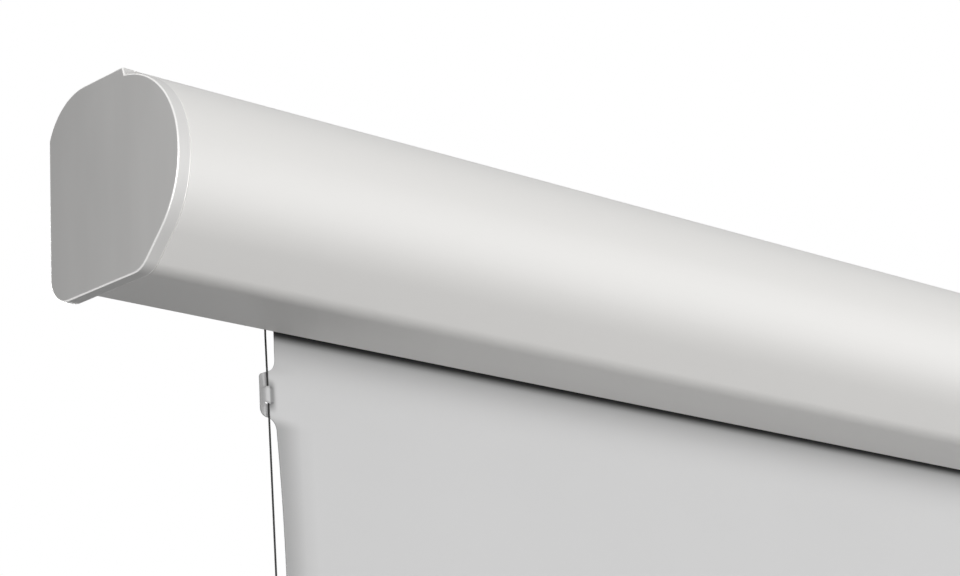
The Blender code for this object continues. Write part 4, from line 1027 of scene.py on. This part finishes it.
# %% Weight bar
BAR_DEPTH, BAR_HEIGHT, BAR_WALL, BAR_CORNER = 0.022, 0.038, 0.002, 0.0028
CHAMBER_HEIGHT = 0.0175
SLOT_HALF, ROD_CHANNEL = 0.0009, 0.0034
BAR_END = 0.1758
BAR_FOOT = -DROP - BAR_HEIGHT
ROD_H = BAR_FOOT + 0.0275
OVERCUT = 0.01  # how far a cutter runs past what it cuts


def rounded_box_section(x, notched):
    """The bar's rounded outline, with the keyhole in its top or without."""
    left, right = FABRIC_D - BAR_DEPTH / 2 + BAR_CORNER, FABRIC_D + BAR_DEPTH / 2 - BAR_CORNER
    foot, top = BAR_FOOT + BAR_CORNER, -DROP - BAR_CORNER
    pen = Section(x, (left, BAR_FOOT))
    corners = [(right, foot), (right, top), (left, top), (left, foot)]
    for centre, start in zip(corners, (-90, 0, 90, 180)):
        if start == 90 and notched:
            rod, reach = (FABRIC_D, ROD_H), math.degrees(math.asin(SLOT_HALF / ROD_CHANNEL))
            pen.line((FABRIC_D + SLOT_HALF, -DROP), on_circle(rod, ROD_CHANNEL, 90 - reach))
            pen.arc(rod, -(360 - 2 * reach), 12).line((FABRIC_D - SLOT_HALF, -DROP))
        pen.line(on_circle(centre, BAR_CORNER, start)).arc(centre, 90, 15)
    bmesh.ops.remove_doubles(pen.mesh, verts=pen.mesh.verts, dist=SAME / 100)
    return pen


def chamber_fill(start, end, slack=0.0):
    """A box that fills the bar's chamber from one x to another, less a slack all round."""
    gap = BAR_WALL + slack
    low = place(start, FABRIC_D - BAR_DEPTH / 2 + gap, BAR_FOOT + gap)
    high = place(end, FABRIC_D + BAR_DEPTH / 2 - gap, BAR_FOOT + BAR_WALL + CHAMBER_HEIGHT - slack)
    size = Matrix.Diagonal((*(abs(reach) for reach in high - low), 1.0))
    shape = bmesh.new()
    bmesh.ops.create_cube(shape, size=1.0, matrix=Matrix.Translation((low + high) / 2) @ size)
    return shape


start, end = place_x(-1, BAR_END), place_x(1, BAR_END)
pen = rounded_box_section(start, True)
pen.pull(end)
shape = joined(pen.mesh, chamber_fill(start - OVERCUT, end + OVERCUT))
file_piece("bottom_bar", shape, paint, "bar", ["weight_bar"], bevel=0.0003)

# %% [markdown]
# ## End blocks
#
# A black moulded block closes each end of the bar. It has the bar's rounded outline, a spigot that
# slips into the hollow chamber, a hole in its top for the cord and a bore for the knob's spindle.

# %% End blocks
BLOCK_END, BLOCK_INNER, BLOCK_OVERCUT = 0.152, 0.1755, 0.004
SPIGOT, CORD_HOLE = 0.025, 0.0012
SPINDLE_RADIUS, SPINDLE_REACH = 0.0040, 0.022
KNOB_D = CORD_D - CORD_RADIUS - CLEARANCE - SPINDLE_RADIUS


def make_block(end, side):
    pen = rounded_box_section(place_x(side, BLOCK_END), False)
    pen.pull(place_x(side, BLOCK_INNER))
    root, nose = place_x(side, BLOCK_INNER - BAR_WALL), place_x(side, BLOCK_INNER + SPIGOT)
    shape = joined(pen.mesh, chamber_fill(root, nose, CLEARANCE), "UNION")
    bore_from, bore_to = BLOCK_END - BLOCK_OVERCUT, BLOCK_END + SPINDLE_REACH + CLEARANCE
    middle = place(place_x(side, (bore_from + bore_to) / 2), KNOB_D, KNOB_H)
    shape = joined(shape, round_bar(middle, SPINDLE_RADIUS + CLEARANCE, bore_to - bore_from, "X"))
    hole_from, hole_to = KNOB_H - SPINDLE_RADIUS, -DROP + BAR_WALL
    middle = place(place_x(side, CORD_EDGE), CORD_D, (hole_from + hole_to) / 2)
    shape = joined(shape, round_bar(middle, CORD_HOLE, hole_to - hole_from, "Z", 20))
    file_piece(f"bar_end_{end}", shape, black_plastic, "bar", [f"end_block_{end}"], bevel=0.0003)


at_both_ends(make_block)

# %% [markdown]
# ## Tension knobs
#
# Turning the knob winds the cord on its spindle. Its grip is a ring of ten flutes, so the outline is
# drawn flute by flute: an arc of the rim, then a small arc that dips in. The spindle is a plain
# round bar, united with it.

# %% Tension knobs
KNOB_RADIUS, KNOB_LENGTH = 0.0095, 0.009
FLUTES, FLUTE_RADIUS = 10, 0.0017
DISH_RADIUS, DISH_DEPTH = 0.62 * KNOB_RADIUS, 0.0012


def make_knob(end, side):
    centre = (KNOB_D, KNOB_H)
    near, far = BLOCK_END - CLEARANCE, BLOCK_END - CLEARANCE - KNOB_LENGTH
    # the angle at the knob's centre, and at the flute's, to where the two circles cross
    half = 2 * math.degrees(math.asin(FLUTE_RADIUS / 2 / KNOB_RADIUS))
    bite = math.degrees(math.acos(FLUTE_RADIUS / 2 / KNOB_RADIUS))
    step = 360 / FLUTES
    pen = Section(place_x(side, near), on_circle(centre, KNOB_RADIUS, half))
    for n in range(FLUTES):
        pen.arc(centre, step - 2 * half, 6)
        pen.arc(on_circle(centre, KNOB_RADIUS, step * (n + 1)), -2 * bite, 20)
    bmesh.ops.remove_doubles(pen.mesh, verts=pen.mesh.verts, dist=SAME / 10)
    pen.pull(place_x(side, far))
    dish = round_bar(place(place_x(side, far), *centre), DISH_RADIUS, 2 * DISH_DEPTH, "X")
    shape = joined(pen.mesh, dish)
    reach = SPINDLE_REACH + CLEARANCE + KNOB_LENGTH / 2
    middle = place(place_x(side, BLOCK_END + SPINDLE_REACH - reach / 2), *centre)
    shape = joined(shape, round_bar(middle, SPINDLE_RADIUS, reach, "X"), "UNION")
    name = f"knob_{end}"
    file_piece(name, shape, grey_plastic, name, [f"tension_{name}"], bevel=0.0005)


at_both_ends(make_knob)

# %% [markdown]
# ## Wall brackets
#
# Each bracket is a strip of 3 mm steel bent to an angle, so its corner is an arc inside and out and
# the free corners are rounded. The lower leg carries the case by two bolts into the slot on its top,
# and the upright leg is screwed to the wall.

# %% Wall brackets
BRACKET_U, BRACKET_WIDTH, STEEL_SHEET = 0.300, 0.060, 0.003
BRACKET_REACH, BRACKET_RISE = 0.0785, 0.040
BEND_RADIUS, FREE_CORNER = 0.0045, 0.006
WALL_HOLE, WALL_HOLE_SPREAD = 0.0035, 0.036
BOLT_RADIUS, BOLT_HOLE, BOLT_SPREAD = 0.003, 0.0035, 0.030
DRILL = 6 * STEEL_SHEET
LEG_UNDERSIDE = SECTION_HEIGHT - CASE_INSET + CLEARANCE


def make_bracket(end, side):
    centre = place_x(side, BRACKET_U)
    back, foot = -BACK_GAP, LEG_UNDERSIDE
    bend = (back + BEND_RADIUS, foot + BEND_RADIUS)
    pen = Section(centre - BRACKET_WIDTH / 2, (BRACKET_REACH, foot))
    pen.line((bend[0], foot)).arc(bend, -90, 10)
    pen.line(
        (back, foot + BRACKET_RISE), (back + STEEL_SHEET, foot + BRACKET_RISE),
        (back + STEEL_SHEET, bend[1]),
    )
    pen.arc(bend, 90, 10).line((BRACKET_REACH, foot + STEEL_SHEET)).close()
    pen.pull(centre + BRACKET_WIDTH / 2)
    corners = [
        edge for edge in pen.mesh.edges
        if abs(edge.calc_length() - STEEL_SHEET) < SAME
        and abs(edge.verts[0].co.x - edge.verts[1].co.x) < SAME
    ]
    bmesh.ops.bevel(
        pen.mesh, geom=corners, offset=FREE_CORNER, offset_type="OFFSET", affect="EDGES",
        segments=5, profile=0.5, material=-1,
    )
    shape = pen.mesh
    for sign in (-1, 1):
        spot = (centre + sign * WALL_HOLE_SPREAD / 2, 0, 0)
        shape = joined(shape, round_bar(spot, WALL_HOLE, DRILL, "Y"))
        spot = place(centre + sign * BOLT_SPREAD / 2, RAIL_CENTRE, foot)
        shape = joined(shape, round_bar(spot, BOLT_HOLE, DRILL, "Z"))
    file_piece(f"bracket_{end}", shape, steel, "housing", [f"wall_bracket_{end}"], bevel=0.0003)


at_both_ends(make_bracket)

# %% [markdown]
# ## Bracket bolts
#
# A bolt's hexagonal head is a short six-sided prism whose top corners are turned away to a cone.
# Cutting the prism with a shallow cone gives those curved facets. A washer lies under the head.

# %% Bracket bolts
HEAD_RADIUS, HEAD_HEIGHT, HEAD_FLAT = 0.0056, 0.004, 0.0046
WASHER_RADIUS, WASHER_HEIGHT = 0.0062, 0.0008
NUT_THICKNESS = 0.0036
CONE_HEIGHT = 2.2 * HEAD_HEIGHT
CONE_RADIUS = HEAD_FLAT + CONE_HEIGHT * math.tan(math.radians(62))


def make_bolt(end, side, number):
    x = place_x(side, BRACKET_U) + (-1, 1)[number] * BOLT_SPREAD / 2
    foot = LEG_UNDERSIDE + STEEL_SHEET + CLEARANCE
    shank_foot = SECTION_HEIGHT - CASE_INSET - RAIL_LIP - CLEARANCE - NUT_THICKNESS

    def turned(low, high, radius, sides):
        """A round part of the bolt from one height to another."""
        middle = place(x, RAIL_CENTRE, (low + high) / 2)
        return round_bar(middle, radius, high - low, "Z", sides)

    cone = bmesh.new()
    bmesh.ops.create_cone(
        cone, cap_ends=True, segments=48, radius1=CONE_RADIUS, radius2=HEAD_FLAT, depth=CONE_HEIGHT,
        matrix=Matrix.Translation(place(x, RAIL_CENTRE, foot + HEAD_HEIGHT - CONE_HEIGHT / 2)),
    )
    head = turned(foot + WASHER_HEIGHT, foot + HEAD_HEIGHT, HEAD_RADIUS, 6)
    shape = joined(head, cone, "INTERSECT")
    shape = joined(shape, turned(foot, foot + WASHER_HEIGHT, WASHER_RADIUS, 32), "UNION")
    shape = joined(shape, turned(shank_foot, foot + HEAD_HEIGHT / 2, BOLT_RADIUS, 24), "UNION")
    name = f"bolt_{end}_{number + 1}"
    file_piece(name, shape, steel, "housing", [f"bracket_{name}"], bevel=0.0002)


for end, side in SIDES.items():
    for number in range(2):
        make_bolt(end, side, number)

# %% [markdown]
# ## Spools and what turns
#
# Round parts are turned: half of their section is drawn once and spun about the roller's axis. Each
# spool has two flanges with a groove between them, and three turns of cord lie in the groove.

# %% Cord spools
SPOOL_WIDTH, SPOOL_FLANGE = 0.008, 0.0010
SPOOL_BORE, SPOOL_FLOOR, SPOOL_RIM = 0.0333, 0.0356, 0.0390
SPOOL_TURNS, TURN_GAP = 3, 0.0002
TURN_RADIUS = SPOOL_FLOOR + CLEARANCE + CORD_RADIUS


def spin_about_roller(shape, geom):
    """Spins a line or a ring once about the roller's axis."""
    bmesh.ops.spin(
        shape, geom=geom, cent=place(0, *ROLLER), axis=(1, 0, 0), dvec=(0, 0, 0),
        angle=math.tau, steps=64, use_merge=True, use_duplicate=False,
    )


def make_spool(end, side):
    near, far = CORD_EDGE - SPOOL_WIDTH / 2, CORD_EDGE + SPOOL_WIDTH / 2
    shape = drawn_through([
        place(place_x(side, u), ROLLER[0], ROLLER[1] + radius) for radius, u in (
            (SPOOL_BORE, near), (SPOOL_RIM, near), (SPOOL_RIM, near + SPOOL_FLANGE),
            (SPOOL_FLOOR, near + SPOOL_FLANGE), (SPOOL_FLOOR, far - SPOOL_FLANGE),
            (SPOOL_RIM, far - SPOOL_FLANGE), (SPOOL_RIM, far), (SPOOL_BORE, far),
        )
    ])
    outline = shape.verts[:]
    shape.edges.new((outline[-1], outline[0]))
    spin_about_roller(shape, outline + shape.edges[:])
    file_piece(
        f"spool_{end}", shape, black_plastic, "roller", [f"cord_spool_{end}"], bevel=0.0002
    )


def make_turns(end, side):
    shape = bmesh.new()
    uv = shape.loops.layers.uv.new("UVMap")
    upright = Matrix.Rotation(math.pi / 2, 4, "X") @ Matrix.Rotation(math.pi / 2, 4, "Z")
    for turn in range(SPOOL_TURNS):
        u = CORD_EDGE + (turn - 1) * (2 * CORD_RADIUS + TURN_GAP)
        middle = place(place_x(side, u), ROLLER[0], ROLLER[1] + TURN_RADIUS)
        ring = bmesh.ops.create_circle(
            shape, cap_ends=False, radius=CORD_RADIUS, segments=CORD_SIDES,
            matrix=Matrix.Translation(middle) @ upright,
        )["verts"]
        spin_about_roller(shape, ring + list({edge for v in ring for edge in v.link_edges}))
    for face in shape.faces:
        for loop in face.loops:
            spot = loop.vert.co - place(0, *ROLLER)
            across = (math.hypot(spot.y, spot.z) - TURN_RADIUS) / CORD_RADIUS
            loop[uv].uv = (across, math.atan2(spot.z, spot.y) * TURN_RADIUS)
    file_piece(f"cord_turns_{end}", shape, braid, "roller")


at_both_ends(make_spool, make_turns)

# %% [markdown]
# ## The motor's lead
#
# The lead leaves the motor's head downwards, curves over above the case's floor and runs into the end
# of the control box. It is a round tube along a smooth curve, made as the tension cords are: a circle
# that is extruded point by point and turned a little at each point.

# %% Motor lead
LEAD_RADIUS, LEAD_SIDES, LEAD_STEPS = 0.0028, 16, 36
# as (u, d, h): the two ends, and the two points that the curve leans towards
LEAD_START, LEAD_END = Vector((0.0321, 0.064, 0.0577)), Vector((0.1097, 0.074636, 0.0149))
BELOW_START = Vector((LEAD_START.x, LEAD_START.y, LEAD_END.z))
BEFORE_END = Vector((LEAD_END.x - 0.6 * (LEAD_END.x - LEAD_START.x), LEAD_END.y, LEAD_END.z))


def lead_spot(t):
    """A point on the lead, from t = 0 at the motor to 1 at the box."""
    u, d, h = (
        LEAD_START * (1 - t) ** 3 + BELOW_START * 3 * t * (1 - t) ** 2
        + BEFORE_END * 3 * t * t * (1 - t) + LEAD_END * t ** 3
    )
    return place(place_x(1, u), d, h)


def tube_along(spots, radius, sides):
    """A closed round tube along a route."""
    shape = bmesh.new()
    heading = (spots[1] - spots[0]).normalized()
    turn = Vector((0, 0, 1)).rotation_difference(heading).to_matrix().to_4x4()
    bmesh.ops.create_circle(
        shape, cap_ends=True, radius=radius, segments=sides,
        matrix=Matrix.Translation(spots[0]) @ turn,
    )
    face = shape.faces[:]
    for before, spot, after in zip(spots, spots[1:], [*spots[2:], spots[-1]]):
        ahead = (after - before).normalized()
        made = bmesh.ops.extrude_face_region(shape, geom=face)["geom"]
        face, ring = only(BMFace, made), only(BMVert, made)
        swing = heading.rotation_difference(ahead).to_matrix()
        bmesh.ops.rotate(shape, verts=ring, cent=before, matrix=swing)
        bmesh.ops.translate(shape, verts=ring, vec=spot - before)
        heading = ahead
    return shape


lead_spots = [lead_spot(n / LEAD_STEPS) for n in range(LEAD_STEPS + 1)]
tube = tube_along(lead_spots, LEAD_RADIUS, LEAD_SIDES)
lead = file_piece("lead", tube, rubber, "housing", ["motor_lead"])

# %% [markdown]
# ## Machined and moulded pieces inside
#
# The pieces inside the case already have the right shape in the CAD model, but their edges are dead
# sharp and their round faces are made of flats. A copy of each one is merged, the seams between its
# triangles are dissolved where they are flat, and a Bevel modifier breaks its edges.

# %% Refined copies
FLAT_ANGLE = math.radians(1.0)
finishes = {
    finish.slot: finish
    for finish in (steel, aluminium, enamel, black_plastic, grey_plastic, rubber, board)
}
members = frame["record"]["behaviour"]["bodies"]


def refined(node, bevel):
    original = frame["nodes"][node].data
    shape = bmesh.new()
    shape.from_mesh(original)
    bmesh.ops.remove_doubles(shape, verts=shape.verts, dist=SAME)
    bmesh.ops.dissolve_limit(
        shape, angle_limit=FLAT_ANGLE, verts=shape.verts, edges=shape.edges,
        delimit={"NORMAL"},
    )
    body = next(name for name, nodes in members.items() if node in nodes)
    finish = finishes[original.materials[0].name]
    file_piece(f"{node}_fine", shape, finish, body, [node], bevel=bevel)


REFINED = {
    "roller_tube": 0.0003, "idler_housing": 0.0005, "idler_plug": 0.0005, "motor_bracket": 0.0005,
    "motor_head": 0.0008, "motor_tube": 0.0010, "motor_crown": 0.0005, "mains_gland": 0.0005,
    "control_box": 0.0003, "control_lid": 0.0006, "upper_limit_button": 0.0003,
    "lower_limit_button": 0.0003,
}
for node, width in REFINED.items():
    refined(node, width)

# %% [markdown]
# ## Finishes of the pieces that stay
#
# What is left of the CAD model needs no new shape: screws, nuts, the pin, the plates behind the caps.
# Each gets the detailed finish of its own slot in place of the plain colour it came with.

# %% Finishes on the CAD nodes
replaced = {node for obj in pieces.values() for node in obj.get("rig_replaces", [])}
for name, node in frame["nodes"].items():
    if name in replaced:
        continue
    for slot in node.material_slots:
        slot.material = finishes[slot.material.name].material
print("kept from the CAD model:", sorted(set(frame["nodes"]) - replaced))

# %% [markdown]
# ## The studio
#
# The photograph has a plain white background, and the object's underside is dark. So the light
# comes from in front, and little comes back up from the floor, which lies far below because the
# screen hangs on a wall. The world and the floor answer Light Path: to the camera and to mirror-like
# rays they are white, and as a source of light they are grey. The floor keeps the object's shadow,
# because its glow is a little less than white and the lamps add the rest. Seen from underneath it
# isn't there, so that the object can be looked at from below.
#
# A large lamp on the right draws the wide highlight along the nose, a small one on the left and a
# weak one below it fill the end cap and the chin, and the last one lights what faces the wall.

# %% World
WORLD_LIGHT = 0.28


def seen_directly(graph):
    """1 for camera, glossy and transmission rays, else 0."""
    camera_ray, glossy_ray, other_ray = (
        graph.add("ShaderNodeLightPath", output=name)
        for name in ("Is Camera Ray", "Is Glossy Ray", "Is Transmission Ray")
    )
    either = camera_ray.maths("MAXIMUM", camera_ray, glossy_ray)
    return either.maths("MAXIMUM", either, other_ray)


world = bpy.data.worlds.new("studio")
bpy.context.scene.world = world
world.use_nodes = True
sky = Graph(world.node_tree)
background = world.node_tree.nodes["Background"]
background.inputs["Color"].default_value = grey(1.0)
level = sky.add("ShaderNodeMapRange", {
    "Value": seen_directly(sky), "To Min": WORLD_LIGHT, "To Max": 1.0,
})
sky.join(level, background.inputs["Strength"])
print("the world has", len(world.node_tree.nodes), "nodes")

# %% Floor
FLOOR_Z, FLOOR_SIZE = -2.6, 40.0
FLOOR_PALE, FLOOR_GLOW = 0.13, 0.78

ground = bmesh.new()
bmesh.ops.create_grid(
    ground, x_segments=1, y_segments=1, size=FLOOR_SIZE / 2,
    matrix=Matrix.Translation((0, 0, FLOOR_Z)),
)
floor = show_shape("floor", ground)
paper = Finish(
    "floor_paper", Base_Color=grey(FLOOR_PALE), Roughness=0.9, Specular_IOR_Level=0.0,
    Emission_Strength=1.0,
)
glow = paper.mix(seen_directly(paper), grey(0.0), grey(FLOOR_GLOW))
paper.join(glow, paper.shader.inputs["Emission Color"])
shown = paper.add("ShaderNodeMixShader", [
    paper.add("ShaderNodeNewGeometry", output="Backfacing"),
    Flow(paper, paper.shader.outputs["BSDF"]), paper.add("ShaderNodeBsdfTransparent"),
])
paper.join(shown, paper.tree.nodes["Material Output"].inputs["Surface"])
floor.data.materials.append(paper.material)
print("the floor lies at", FLOOR_Z)


# %% Lamps
def area_light(name, at, towards, size, power):
    light = bpy.data.lights.new(name, "AREA")
    light.shape, light.size, light.energy = "DISK", size, power
    way = Vector(towards) - Vector(at)
    turn = way.to_track_quat("-Z", "Y").to_matrix().to_4x4()
    show(name, light).matrix_world = Matrix.Translation(at) @ turn
    print(name, "is", round(way.length, 2), "m away")


area_light("right light", (1.6, -3.0, -0.25), (-0.2, -0.1, -0.15), 3.4, 88)
area_light("left light", (-3.4, -2.8, 0.1), (-1.1, -0.1, -0.2), 1.5, 45)
area_light("low light", (-3.2, -2.4, -0.9), (-1.0, -0.1, -0.15), 2.0, 13)
area_light("back light", (0.0, 3.2, 0.2), (0.0, 0.0, -0.6), 2.0, 75)
bpy.context.scene.view_settings.view_transform = "Standard"

# %% [markdown]
# ## The end
#
# The view layer is updated once more, so that every piece stands where it was put.

# %% The end
bpy.context.view_layer.update()
